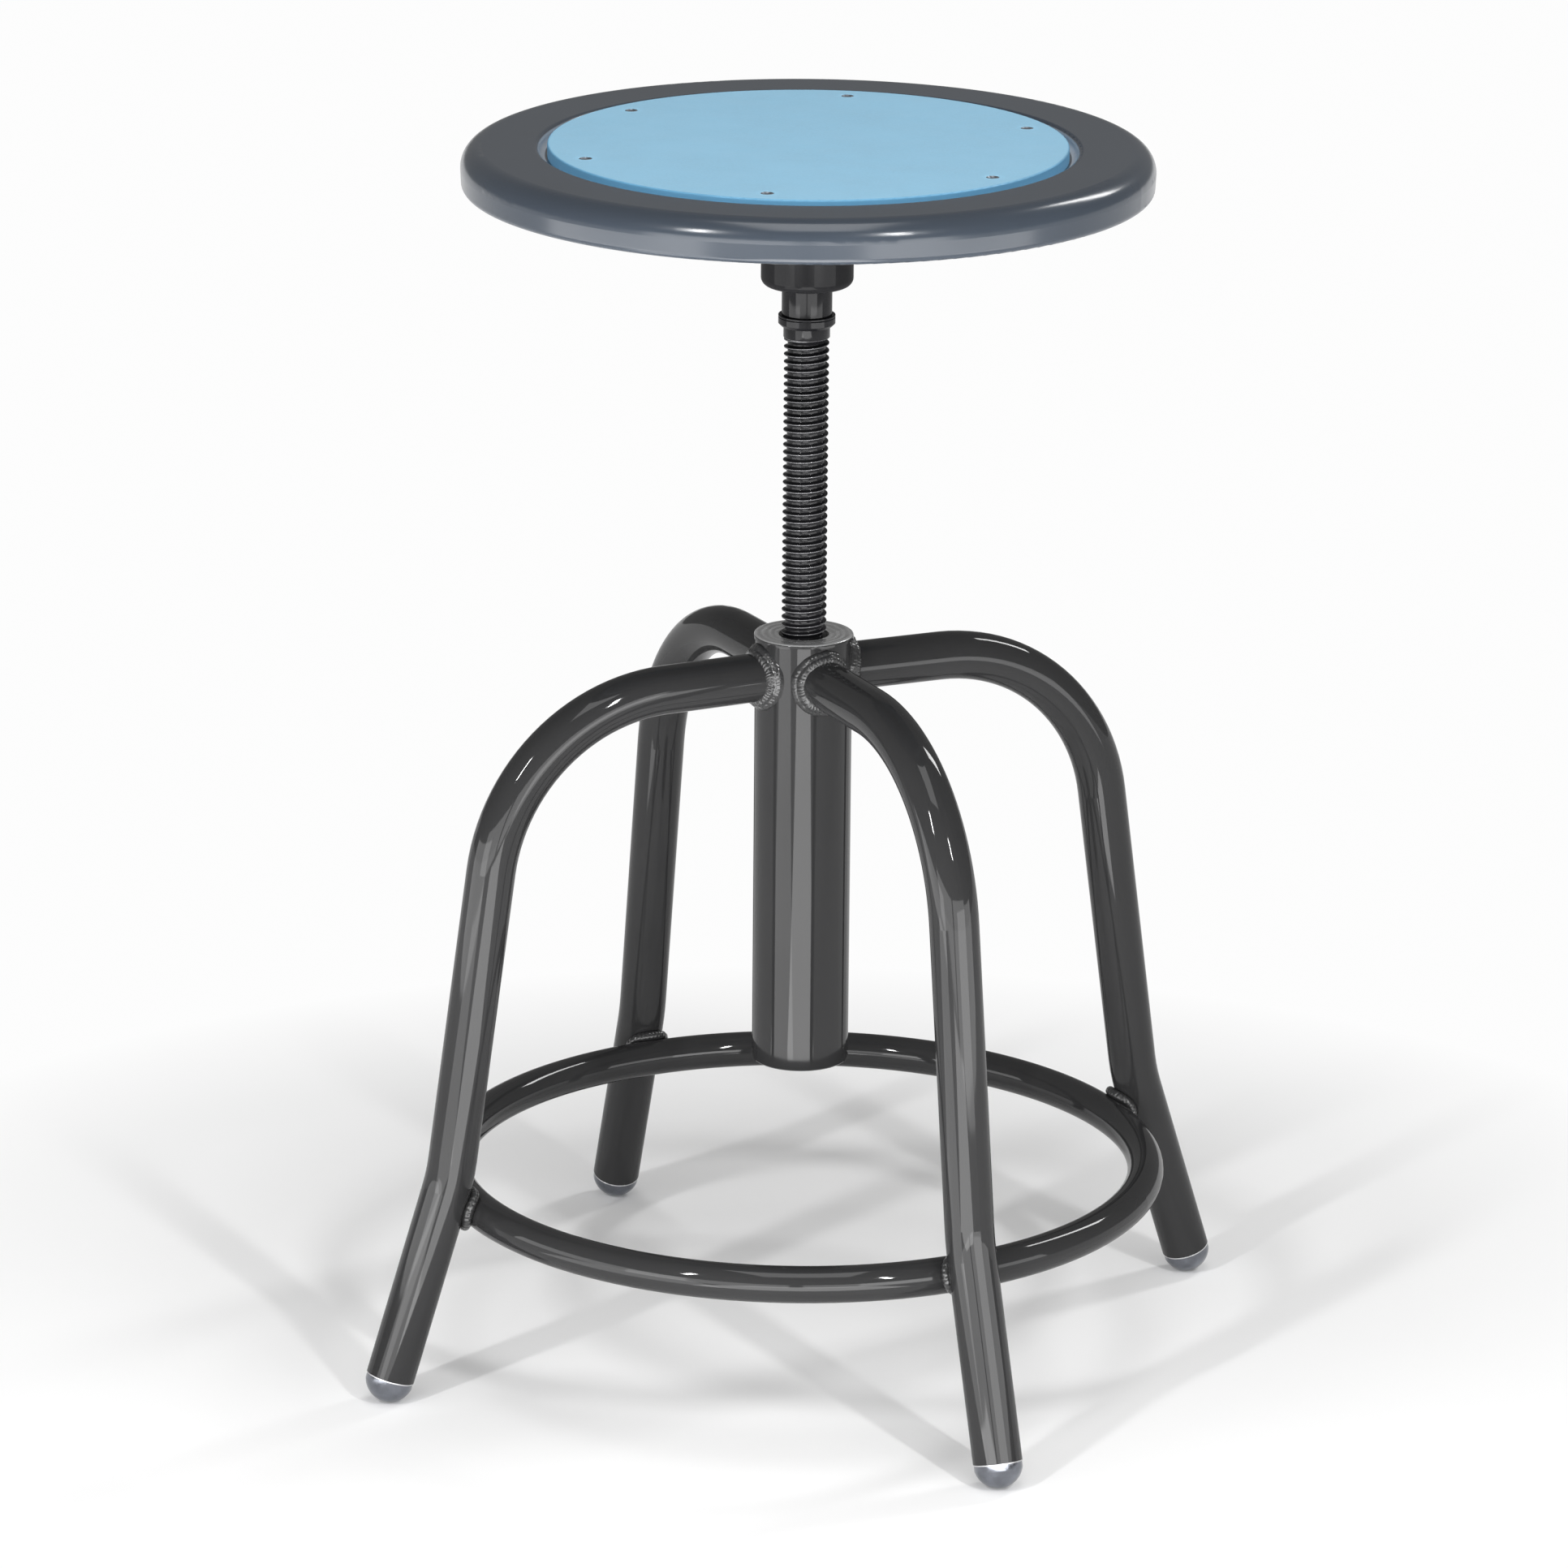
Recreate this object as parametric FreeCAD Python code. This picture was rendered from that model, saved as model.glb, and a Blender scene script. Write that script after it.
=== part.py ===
import FreeCAD, Part
import math
import os

# Machinist stool: a round steel seat on a coarse screw, in a column with four
# bent tube legs and a foot ring. Millimetres, +Z up, origin on the floor under
# the column's axis, legs on the diagonals of X and Y.

# Seat pan, pressed from sheet
SEAT_DIAMETER = 355.6
SHEET = 2.0
RIM_HEIGHT = 21.8
RIM_SHOULDER_RADIUS = 11.0
RIM_DRAFT = 1.0
HEM_WIDTH = 9.0
HEM_BEND_RADIUS = 3.5
RECESS_DIAMETER = 275.0
RECESS_LIP_RADIUS = 2.6
RECESS_FOOT_RADIUS = 2.4

# Seat board and its rivets
BOARD_SIDE_GAP = 4.5
BOARD_THICKNESS = 6.35
BOARD_EDGE_RADIUS = 0.8
BOARD_PROUD = 1.4
RIVET_COUNT = 6
RIVET_EDGE_INSET = 13.3
RIVET_FIRST_ANGLE = 39.5
RIVET_HEAD_DIAMETER = 7.4
RIVET_HEAD_HEIGHT = 1.6
RIVET_SHANK_DIAMETER = 4.0
RIVET_TAIL_DIAMETER = 7.0
RIVET_TAIL_HEIGHT = 1.8

# Backing plate and hub under the pan
PLATE_DIAMETER = 152.0
PLATE_THICKNESS = 4.8
PLATE_BEVEL = 1.2
HUB_FLANGE_DIAMETER = 104.0
HUB_FLANGE_THICKNESS = 8.0
HUB_FLANGE_FILLET = 7.0
HUB_FLANGE_EDGE_RADIUS = 1.5
HUB_DIAMETER = 47.6
HUB_BOSS_LENGTH = 53.0
HUB_END_RADIUS = 4.5
HUB_SOCKET_DEPTH = 46.0
SCREW_COUNT = 4
SCREW_EDGE_INSET = 12.0
SCREW_FIRST_ANGLE = 45.0
SCREW_DIAMETER = 8.0
SCREW_HEAD_DIAMETER = 15.6
SCREW_END_PROUD = 1.6
NUT_ACROSS_FLATS = 13.0
NUT_THICKNESS = 6.5
SET_SCREW_DIAMETER = 8.0
SET_SCREW_HEIGHT = 27.0
SET_SCREW_RECESS = 1.0
SET_SCREW_KEY_ACROSS_FLATS = 4.0
SET_SCREW_KEY_DEPTH = 3.5

# Screw spindle, from the hub down
SHANK_DIAMETER = 26.0
SHANK_EXPOSED = 15.0
WASHER_DIAMETER = 29.4
WASHER_THICKNESS = 1.3
WASHER_EDGE_RADIUS = 0.4
COLLAR_DIAMETER = 29.4
COLLAR_THICKNESS = 4.9
COLLAR_BEVEL = 1.6
LAND_DIAMETER = 24.0
LAND_EXPOSED = 5.6
THREAD_DIAMETER = 23.4
THREAD_EXPOSED = 157.8
NECK_DIAMETER = 16.0
SPINDLE_TIP_BEVEL = 1.0

# Lower end of the spindle
BUSH_LENGTH = 20.0
BUSH_FLANGE_LENGTH = 4.0
BUSH_WAIST_STEP = 1.2
END_WASHER_DIAMETER = 34.0
END_WASHER_THICKNESS = 3.0
BOLT_DIAMETER = 10.0
BOLT_REACH = 22.0
BOLT_HEAD_ACROSS_FLATS = 16.0
BOLT_HEAD_HEIGHT = 6.4

# Column and the nut in its top
COLUMN_TOP_HEIGHT = 386.9
COLUMN_LENGTH = 230.2
COLUMN_DIAMETER = 50.8
COLUMN_WALL = 4.2
COLUMN_END_BEVEL = 0.8
COLUMN_NUT_LENGTH = 38.0
COLUMN_NUT_FLANGE_DIAMETER = 52.0
COLUMN_NUT_FLANGE_THICKNESS = 2.6
COLUMN_NUT_EDGE_RADIUS = 1.2
COLUMN_NUT_DISH_DEPTH = 0.8
COLUMN_NUT_MOUTH_BEVEL = 1.4

# Legs
LEG_NAMES = ["back_right", "back_left", "front_left", "front_right"]
LEG_FIRST_ANGLE = 45.0
LEG_DIAMETER = 25.4
LEG_WALL = 2.0
LEG_ROOT_DROP = 18.8
LEG_ROOT_SLOPE = 0.6
LEG_SHOULDER_BEND_RADIUS = 100.0
LEG_SHANK_LEAN = 8.2
LEG_KNEE_HEIGHT = 119.6
LEG_KNEE_BEND_RADIUS = 102.0
LEG_FLARE = 18.0
FOOT_CIRCLE_DIAMETER = 470.5

# Foot ring
RING_HEIGHT = 97.7
RING_TUBE_DIAMETER = 19.05
RING_TUBE_WALL = 1.6

# Glides in the leg ends
GLIDE_LIP_THICKNESS = 0.8
GLIDE_STEM_LENGTH = 16.0
GLIDE_STEM_BEVEL = 1.5

# Welds
LEG_WELD_SIZE = 5.0
RING_WELD_SIZE = 2.6
RING_WELD_GAP = 0.4

# Fits, as clearance on the radius unless said otherwise
RUNNING_CLEARANCE = 0.08
THREAD_CLEARANCE = 0.10
PRESS_CLEARANCE = 0.03
BOLT_HOLE_CLEARANCE = 0.4
BUSH_SLIDING_CLEARANCE = 0.10
STOP_GAP = 0.4

# Heights worked out up the stack of pieces
NUT_TOP = COLUMN_TOP_HEIGHT + COLUMN_NUT_FLANGE_THICKNESS
NUT_BOTTOM = COLUMN_TOP_HEIGHT - COLUMN_NUT_LENGTH
LAND_BOTTOM = NUT_TOP + THREAD_EXPOSED
COLLAR_BOTTOM = LAND_BOTTOM + LAND_EXPOSED
WASHER_BOTTOM = COLLAR_BOTTOM + COLLAR_THICKNESS
SHANK_BOTTOM = WASHER_BOTTOM + WASHER_THICKNESS
HUB_BOTTOM = SHANK_BOTTOM + SHANK_EXPOSED
FLANGE_BOTTOM = HUB_BOTTOM + HUB_BOSS_LENGTH
PLATE_BOTTOM = FLANGE_BOTTOM + HUB_FLANGE_THICKNESS
PAN_BOTTOM = PLATE_BOTTOM + PLATE_THICKNESS
PAN_FLOOR = PAN_BOTTOM + SHEET
SEAT_HEIGHT = PAN_FLOOR + BOARD_THICKNESS
RIM_TOP = SEAT_HEIGHT - BOARD_PROUD
BUSH_TOP = NUT_BOTTOM - STOP_GAP
BUSH_BOTTOM = BUSH_TOP - BUSH_LENGTH
COLUMN_BOTTOM = COLUMN_TOP_HEIGHT - COLUMN_LENGTH

# Radii worked out from the sizes above
COLUMN_BORE = COLUMN_DIAMETER / 2 - COLUMN_WALL
BOARD_RADIUS = RECESS_DIAMETER / 2 - BOARD_SIDE_GAP
RIVET_CIRCLE_RADIUS = BOARD_RADIUS - RIVET_EDGE_INSET
SCREW_CIRCLE_RADIUS = HUB_FLANGE_DIAMETER / 2 - SCREW_EDGE_INSET
LEG_RADIUS = LEG_DIAMETER / 2
RING_TUBE_RADIUS = RING_TUBE_DIAMETER / 2
HEXAGON_SIDES = 6
TOUCH = 0.01
EDGE_SAMPLES = 9
UP = FreeCAD.Vector(0, 0, 1)
ORIGIN = FreeCAD.Vector(0, 0, 0)


def xz(radius, height):
    return FreeCAD.Vector(radius, 0, height)


def rounded_path(corners, closed):
    """Wire in the XZ plane through (radius, height, rounding) corners."""
    count = len(corners)
    edges = []
    last = None
    first = None
    for index, (radius, height, rounding) in enumerate(corners):
        here = xz(radius, height)
        at_end = not closed and index in (0, count - 1)
        if rounding and not at_end:
            before = corners[index - 1]
            after = corners[(index + 1) % count]
            inward = xz(before[0], before[1]) - here
            outward = xz(after[0], after[1]) - here
            inward.normalize()
            outward.normalize()
            half = inward.getAngle(outward) / 2
            start = here + inward * (rounding / math.tan(half))
            end = here + outward * (rounding / math.tan(half))
            bisector = inward + outward
            bisector.normalize()
            middle = here + bisector * (rounding / math.sin(half) - rounding)
        else:
            start = here
            end = here
            middle = None
        if last is None:
            first = start
        elif (start - last).Length > 1e-6:
            edges.append(Part.makeLine(last, start))
        if middle is not None:
            edges.append(Part.Arc(start, middle, end).toShape())
        last = end
    if closed and (first - last).Length > 1e-6:
        edges.append(Part.makeLine(last, first))
    return Part.Wire(edges)


def turned(corners):
    """Solid turned about the Z axis from a closed outline of corners."""
    face = Part.Face(rounded_path(corners, closed=True))
    return face.revolve(ORIGIN, UP, 360)


def cylinder(radius, bottom, top):
    return Part.makeCylinder(radius, top - bottom, xz(0, bottom))


def hexagon(across_flats, bottom, top):
    corner = across_flats / 2 / math.cos(math.pi / HEXAGON_SIDES)
    ring = []
    for step in range(HEXAGON_SIDES):
        angle = 2 * math.pi * step / HEXAGON_SIDES
        ring.append(FreeCAD.Vector(corner * math.cos(angle), corner * math.sin(angle), bottom))
    return Part.Face(Part.makePolygon(ring + ring[:1])).extrude(UP * (top - bottom))


def chamfered_hexagon(across_flats, bottom, top):
    """Hexagon whose corners are turned off by a cone at both ends."""
    flat = across_flats / 2
    corner = flat / math.cos(math.pi / HEXAGON_SIDES)
    drop = (corner - flat) * math.tan(math.pi / HEXAGON_SIDES)
    blank = turned([(0, bottom, 0), (flat, bottom, 0), (corner, bottom + drop, 0),
                    (corner, top - drop, 0), (flat, top, 0), (0, top, 0)])
    return hexagon(across_flats, bottom, top).common(blank)


def turned_to(shape, angle):
    copy = shape.copy()
    copy.rotate(ORIGIN, UP, angle)
    return copy


def round_pattern(shape, count, radius, first_angle):
    """Copies of a shape on a circle about the Z axis."""
    copies = []
    for index in range(count):
        copy = shape.copy()
        copy.translate(xz(radius, 0))
        copies.append(turned_to(copy, first_angle + index * 360 / count))
    return copies


def solid_of(shape):
    return shape.Solids[0] if len(shape.Solids) == 1 else shape


# Pieces of the seat

def rivet_copies(shape):
    return round_pattern(shape, RIVET_COUNT, RIVET_CIRCLE_RADIUS, RIVET_FIRST_ANGLE)


def screw_copies(shape):
    return round_pattern(shape, SCREW_COUNT, SCREW_CIRCLE_RADIUS, SCREW_FIRST_ANGLE)


def rivet():
    """Flush countersunk rivet through the board and the pan, set underneath."""
    shank = RIVET_SHANK_DIAMETER / 2
    head = RIVET_HEAD_DIAMETER / 2
    tail = RIVET_TAIL_DIAMETER / 2
    return turned([(0, PAN_BOTTOM - RIVET_TAIL_HEIGHT, 0),
                   (tail, PAN_BOTTOM - RIVET_TAIL_HEIGHT, RIVET_TAIL_HEIGHT / 2),
                   (tail, PAN_BOTTOM, 0),
                   (shank, PAN_BOTTOM, 0),
                   (shank, SEAT_HEIGHT - RIVET_HEAD_HEIGHT, 0),
                   (head, SEAT_HEIGHT, 0),
                   (0, SEAT_HEIGHT, 0)])


def rivet_hole():
    shank = RIVET_SHANK_DIAMETER / 2 + PRESS_CLEARANCE
    head = RIVET_HEAD_DIAMETER / 2 + PRESS_CLEARANCE
    return turned([(0, PAN_BOTTOM - SHEET, 0),
                   (shank, PAN_BOTTOM - SHEET, 0),
                   (shank, SEAT_HEIGHT - RIVET_HEAD_HEIGHT, 0),
                   (head, SEAT_HEIGHT, 0),
                   (head, SEAT_HEIGHT + SHEET, 0),
                   (0, SEAT_HEIGHT + SHEET, 0)])


def screw_head_height():
    return (SCREW_HEAD_DIAMETER - SCREW_DIAMETER) / 2


def hub_screw():
    """Flat head screw from the pan floor through the plate and the hub flange."""
    end = FLANGE_BOTTOM - NUT_THICKNESS - SCREW_END_PROUD
    return turned([(0, end, 0),
                   (SCREW_DIAMETER / 2 - SCREW_END_PROUD / 2, end, 0),
                   (SCREW_DIAMETER / 2, end + SCREW_END_PROUD / 2, 0),
                   (SCREW_DIAMETER / 2, PAN_FLOOR - screw_head_height(), 0),
                   (SCREW_HEAD_DIAMETER / 2, PAN_FLOOR, 0),
                   (0, PAN_FLOOR, 0)])


def screw_hole():
    shank = SCREW_DIAMETER / 2 + BOLT_HOLE_CLEARANCE
    head = SCREW_HEAD_DIAMETER / 2
    cone_foot = PAN_FLOOR - head + shank
    return turned([(0, FLANGE_BOTTOM - SHEET, 0),
                   (shank, FLANGE_BOTTOM - SHEET, 0),
                   (shank, cone_foot, 0),
                   (head + PRESS_CLEARANCE, PAN_FLOOR + PRESS_CLEARANCE, 0),
                   (0, PAN_FLOOR + PRESS_CLEARANCE, 0)])


def hub_nut():
    body = chamfered_hexagon(NUT_ACROSS_FLATS, FLANGE_BOTTOM - NUT_THICKNESS, FLANGE_BOTTOM)
    bore = cylinder(SCREW_DIAMETER / 2 + PRESS_CLEARANCE, FLANGE_BOTTOM - NUT_THICKNESS, FLANGE_BOTTOM)
    return solid_of(body.cut(bore))


def seat_pan():
    """Pressed sheet: sunk floor, flat ring, round shoulder, drawn wall and hem."""
    rim = SEAT_DIAMETER / 2
    recess = RECESS_DIAMETER / 2
    bottom = RIM_TOP - RIM_HEIGHT
    foot = rim - RIM_DRAFT
    inner_foot = foot - SHEET
    inner_recess = recess + SHEET
    outline = [(0, PAN_FLOOR, 0),
               (recess, PAN_FLOOR, RECESS_FOOT_RADIUS),
               (recess, RIM_TOP, RECESS_LIP_RADIUS),
               (rim, RIM_TOP, RIM_SHOULDER_RADIUS),
               (foot, bottom, HEM_BEND_RADIUS),
               (foot - HEM_WIDTH, bottom, 0),
               (foot - HEM_WIDTH, bottom + SHEET, 0),
               (inner_foot, bottom + SHEET, HEM_BEND_RADIUS - SHEET),
               (rim - SHEET, RIM_TOP - SHEET, RIM_SHOULDER_RADIUS - SHEET),
               (inner_recess, RIM_TOP - SHEET, RECESS_LIP_RADIUS - SHEET),
               (inner_recess, PAN_BOTTOM, RECESS_FOOT_RADIUS + SHEET),
               (0, PAN_BOTTOM, 0)]
    pan = turned(outline)
    for hole in rivet_copies(rivet_hole()) + screw_copies(screw_hole()):
        pan = pan.cut(hole)
    return solid_of(pan)


def seat_board():
    board = turned([(0, PAN_FLOOR, 0),
                    (BOARD_RADIUS, PAN_FLOOR, 0),
                    (BOARD_RADIUS, SEAT_HEIGHT, BOARD_EDGE_RADIUS),
                    (0, SEAT_HEIGHT, 0)])
    for hole in rivet_copies(rivet_hole()):
        board = board.cut(hole)
    return solid_of(board)


def backing_plate():
    edge = PLATE_DIAMETER / 2
    plate = turned([(0, PLATE_BOTTOM, 0),
                    (edge - PLATE_BEVEL, PLATE_BOTTOM, 0),
                    (edge, PLATE_BOTTOM + PLATE_BEVEL, 0),
                    (edge, PAN_BOTTOM, 0),
                    (0, PAN_BOTTOM, 0)])
    for hole in screw_copies(screw_hole()):
        plate = plate.cut(hole)
    return solid_of(plate)


def radial_cylinder(radius, inner, outer, height):
    return Part.makeCylinder(radius, outer - inner, FreeCAD.Vector(0, inner, height), FreeCAD.Vector(0, 1, 0))


def seat_hub():
    """Turned casting: bolting flange, boss and the socket for the spindle."""
    boss = HUB_DIAMETER / 2
    flange = HUB_FLANGE_DIAMETER / 2
    socket = SHANK_DIAMETER / 2 + PRESS_CLEARANCE
    hub = turned([(0, HUB_BOTTOM + HUB_SOCKET_DEPTH, 0),
                  (socket, HUB_BOTTOM + HUB_SOCKET_DEPTH, 0),
                  (socket, HUB_BOTTOM, 0),
                  (boss, HUB_BOTTOM, HUB_END_RADIUS),
                  (boss, FLANGE_BOTTOM, HUB_FLANGE_FILLET),
                  (flange, FLANGE_BOTTOM, HUB_FLANGE_EDGE_RADIUS),
                  (flange, PLATE_BOTTOM, HUB_FLANGE_EDGE_RADIUS),
                  (0, PLATE_BOTTOM, 0)])
    for hole in screw_copies(screw_hole()):
        hub = hub.cut(hole)
    tapped = SET_SCREW_DIAMETER / 2 + PRESS_CLEARANCE
    return solid_of(hub.cut(radial_cylinder(tapped, 0, HUB_DIAMETER, HUB_BOTTOM + SET_SCREW_HEIGHT)))


def hub_set_screw():
    """Socket set screw at the back of the hub that locks the spindle's shank."""
    height = HUB_BOTTOM + SET_SCREW_HEIGHT
    inner = SHANK_DIAMETER / 2
    outer = HUB_DIAMETER / 2 - SET_SCREW_RECESS
    screw = radial_cylinder(SET_SCREW_DIAMETER / 2, 0, outer, height)
    shank = cylinder(inner + PRESS_CLEARANCE, height - SET_SCREW_DIAMETER, height + SET_SCREW_DIAMETER)
    key = hexagon(SET_SCREW_KEY_ACROSS_FLATS, 0, SET_SCREW_KEY_DEPTH)
    key.rotate(ORIGIN, FreeCAD.Vector(1, 0, 0), 90)
    key.translate(FreeCAD.Vector(0, outer, height))
    return solid_of(screw.cut(shank).cut(key))


# Pieces of the spindle

def threaded_spindle():
    """Turned bar: shank in the hub, land, threaded length and bush seat."""
    top = HUB_BOTTOM + HUB_SOCKET_DEPTH - STOP_GAP
    shank = SHANK_DIAMETER / 2
    land = LAND_DIAMETER / 2
    thread = THREAD_DIAMETER / 2
    neck = NECK_DIAMETER / 2
    spindle = turned([(0, BUSH_BOTTOM, 0),
                      (neck - SPINDLE_TIP_BEVEL, BUSH_BOTTOM, 0),
                      (neck, BUSH_BOTTOM + SPINDLE_TIP_BEVEL, 0),
                      (neck, BUSH_TOP, 0),
                      (thread - SPINDLE_TIP_BEVEL, BUSH_TOP, 0),
                      (thread, BUSH_TOP + SPINDLE_TIP_BEVEL, 0),
                      (thread, LAND_BOTTOM, 0),
                      (land, LAND_BOTTOM, 0),
                      (land, SHANK_BOTTOM, 0),
                      (shank, SHANK_BOTTOM, 0),
                      (shank, top - SPINDLE_TIP_BEVEL, 0),
                      (shank - SPINDLE_TIP_BEVEL, top, 0),
                      (0, top, 0)])
    hole = cylinder(BOLT_DIAMETER / 2 + PRESS_CLEARANCE, BUSH_BOTTOM, BUSH_BOTTOM + BOLT_REACH)
    return solid_of(spindle.cut(hole))


def collar_washer():
    bore = LAND_DIAMETER / 2 + PRESS_CLEARANCE
    edge = WASHER_DIAMETER / 2
    return turned([(bore, WASHER_BOTTOM, 0),
                   (edge, WASHER_BOTTOM, WASHER_EDGE_RADIUS),
                   (edge, SHANK_BOTTOM, WASHER_EDGE_RADIUS),
                   (bore, SHANK_BOTTOM, 0)])


def stop_collar():
    """Bevelled collar pressed on the land, under the washer."""
    bore = LAND_DIAMETER / 2 + PRESS_CLEARANCE
    edge = COLLAR_DIAMETER / 2
    return turned([(bore, COLLAR_BOTTOM, 0),
                   (edge - COLLAR_BEVEL, COLLAR_BOTTOM, 0),
                   (edge, COLLAR_BOTTOM + COLLAR_BEVEL, 0),
                   (edge, WASHER_BOTTOM, WASHER_EDGE_RADIUS),
                   (bore, WASHER_BOTTOM, 0)])


def guide_bush():
    """Plastic bush that keeps the spindle's lower end central in the column."""
    bore = NECK_DIAMETER / 2 + RUNNING_CLEARANCE
    edge = COLUMN_BORE - BUSH_SLIDING_CLEARANCE
    waist = edge - BUSH_WAIST_STEP
    return turned([(bore, BUSH_BOTTOM, 0),
                   (edge, BUSH_BOTTOM, BUSH_WAIST_STEP / 2),
                   (edge, BUSH_BOTTOM + BUSH_FLANGE_LENGTH, 0),
                   (waist, BUSH_BOTTOM + BUSH_FLANGE_LENGTH, 0),
                   (waist, BUSH_TOP - BUSH_FLANGE_LENGTH, 0),
                   (edge, BUSH_TOP - BUSH_FLANGE_LENGTH, 0),
                   (edge, BUSH_TOP, BUSH_WAIST_STEP / 2),
                   (bore, BUSH_TOP, 0)])


def end_washer():
    top = BUSH_BOTTOM - RUNNING_CLEARANCE
    bore = BOLT_DIAMETER / 2 + BOLT_HOLE_CLEARANCE
    return turned([(bore, top - END_WASHER_THICKNESS, 0),
                   (END_WASHER_DIAMETER / 2, top - END_WASHER_THICKNESS, WASHER_EDGE_RADIUS),
                   (END_WASHER_DIAMETER / 2, top, WASHER_EDGE_RADIUS),
                   (bore, top, 0)])


def end_bolt():
    head_top = BUSH_BOTTOM - RUNNING_CLEARANCE - END_WASHER_THICKNESS
    head = chamfered_hexagon(BOLT_HEAD_ACROSS_FLATS, head_top - BOLT_HEAD_HEIGHT, head_top)
    shank = cylinder(BOLT_DIAMETER / 2, head_top - BOLT_HEAD_HEIGHT / 2, BUSH_BOTTOM + BOLT_REACH - STOP_GAP)
    return solid_of(head.fuse(shank).removeSplitter())


# Pieces of the base

def column_tube():
    outer = COLUMN_DIAMETER / 2
    return turned([(COLUMN_BORE, COLUMN_BOTTOM, 0),
                   (outer - COLUMN_END_BEVEL, COLUMN_BOTTOM, 0),
                   (outer, COLUMN_BOTTOM + COLUMN_END_BEVEL, 0),
                   (outer, COLUMN_TOP_HEIGHT, 0),
                   (COLUMN_BORE, COLUMN_TOP_HEIGHT, 0)])


def column_nut():
    """Tapped bush welded in the column's top, with a thin dished flange."""
    bore = THREAD_DIAMETER / 2 + THREAD_CLEARANCE
    edge = COLUMN_NUT_FLANGE_DIAMETER / 2
    body = COLUMN_BORE - PRESS_CLEARANCE
    return turned([(bore, NUT_BOTTOM, 0),
                   (body - COLUMN_NUT_MOUTH_BEVEL, NUT_BOTTOM, 0),
                   (body, NUT_BOTTOM + COLUMN_NUT_MOUTH_BEVEL, 0),
                   (body, COLUMN_TOP_HEIGHT, 0),
                   (edge, COLUMN_TOP_HEIGHT, 0),
                   (edge, NUT_TOP, COLUMN_NUT_EDGE_RADIUS),
                   (bore + COLUMN_NUT_MOUTH_BEVEL, NUT_TOP - COLUMN_NUT_DISH_DEPTH, 0),
                   (bore, NUT_TOP - COLUMN_NUT_DISH_DEPTH - COLUMN_NUT_MOUTH_BEVEL, 0)])


def leg_corners():
    """Corners of a leg's centre line: root, shoulder, knee and tube end."""
    root_slope = math.radians(LEG_ROOT_SLOPE)
    lean = math.radians(LEG_SHANK_LEAN)
    flare = math.radians(LEG_FLARE)
    column = COLUMN_DIAMETER / 2
    root_height = COLUMN_TOP_HEIGHT - LEG_ROOT_DROP
    start_radius = column - LEG_RADIUS
    start_height = root_height + LEG_RADIUS * math.tan(root_slope)
    end_height = LEG_RADIUS + GLIDE_LIP_THICKNESS * math.cos(flare)
    end_radius = FOOT_CIRCLE_DIAMETER / 2 - GLIDE_LIP_THICKNESS * math.sin(flare)
    knee_radius = end_radius - (LEG_KNEE_HEIGHT - end_height) * math.tan(flare)
    # The shoulder is where the root's line meets the line up from the knee.
    rise = root_height - LEG_KNEE_HEIGHT - (knee_radius - column) * math.tan(root_slope)
    rise = rise / (1 - math.tan(lean) * math.tan(root_slope))
    shoulder_radius = knee_radius - rise * math.tan(lean)
    return [(start_radius, start_height, 0),
            (shoulder_radius, LEG_KNEE_HEIGHT + rise, LEG_SHOULDER_BEND_RADIUS),
            (knee_radius, LEG_KNEE_HEIGHT, LEG_KNEE_BEND_RADIUS),
            (end_radius, end_height, 0)]


def along(corners, radius):
    """Round bar of a given radius along a rounded path."""
    path = rounded_path(corners, closed=False)
    start = xz(corners[0][0], corners[0][1])
    direction = xz(corners[1][0], corners[1][1]) - start
    section = Part.Wire([Part.makeCircle(radius, start, direction)])
    return path.makePipeShell([section], True, False)


def leg_tool():
    """The leg's full outside, running on into the column."""
    return along(leg_corners(), LEG_RADIUS)


def column_tool():
    return cylinder(COLUMN_DIAMETER / 2, COLUMN_BOTTOM, COLUMN_TOP_HEIGHT)


def leg():
    """Bent tube, coped to the column at its root and cut square at the glide."""
    tube = leg_tool().cut(along(leg_corners(), LEG_RADIUS - LEG_WALL))
    return max(tube.cut(column_tool()).Solids, key=lambda piece: piece.Volume)


def on_column_side(edge):
    """True for an edge that runs round on the column's side, away from its ends."""
    for point in edge.discretize(EDGE_SAMPLES):
        off_side = abs(math.hypot(point.x, point.y) - COLUMN_DIAMETER / 2)
        if off_side > TOUCH or point.z > COLUMN_TOP_HEIGHT - TOUCH or point.z < COLUMN_BOTTOM + TOUCH:
            return False
    return True


def leg_weld():
    """Fillet weld all round the leg's root, against the column."""
    corners = leg_corners()
    column = column_tool()
    root = along([corners[0], (corners[1][0], corners[1][1], 0)], LEG_RADIUS)
    joint = column.fuse(root)
    seam = [edge for edge in joint.Edges if on_column_side(edge)]
    bead = joint.makeChamfer(LEG_WELD_SIZE, seam).cut(column).cut(root)
    return max(bead.Solids, key=lambda piece: piece.Volume)


def foot_frame():
    """Tube end centre and outward direction at the foot of the leg along +X."""
    knee, end = leg_corners()[2:]
    end_point = xz(end[0], end[1])
    direction = end_point - xz(knee[0], knee[1])
    direction.normalize()
    return end_point, direction


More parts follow.
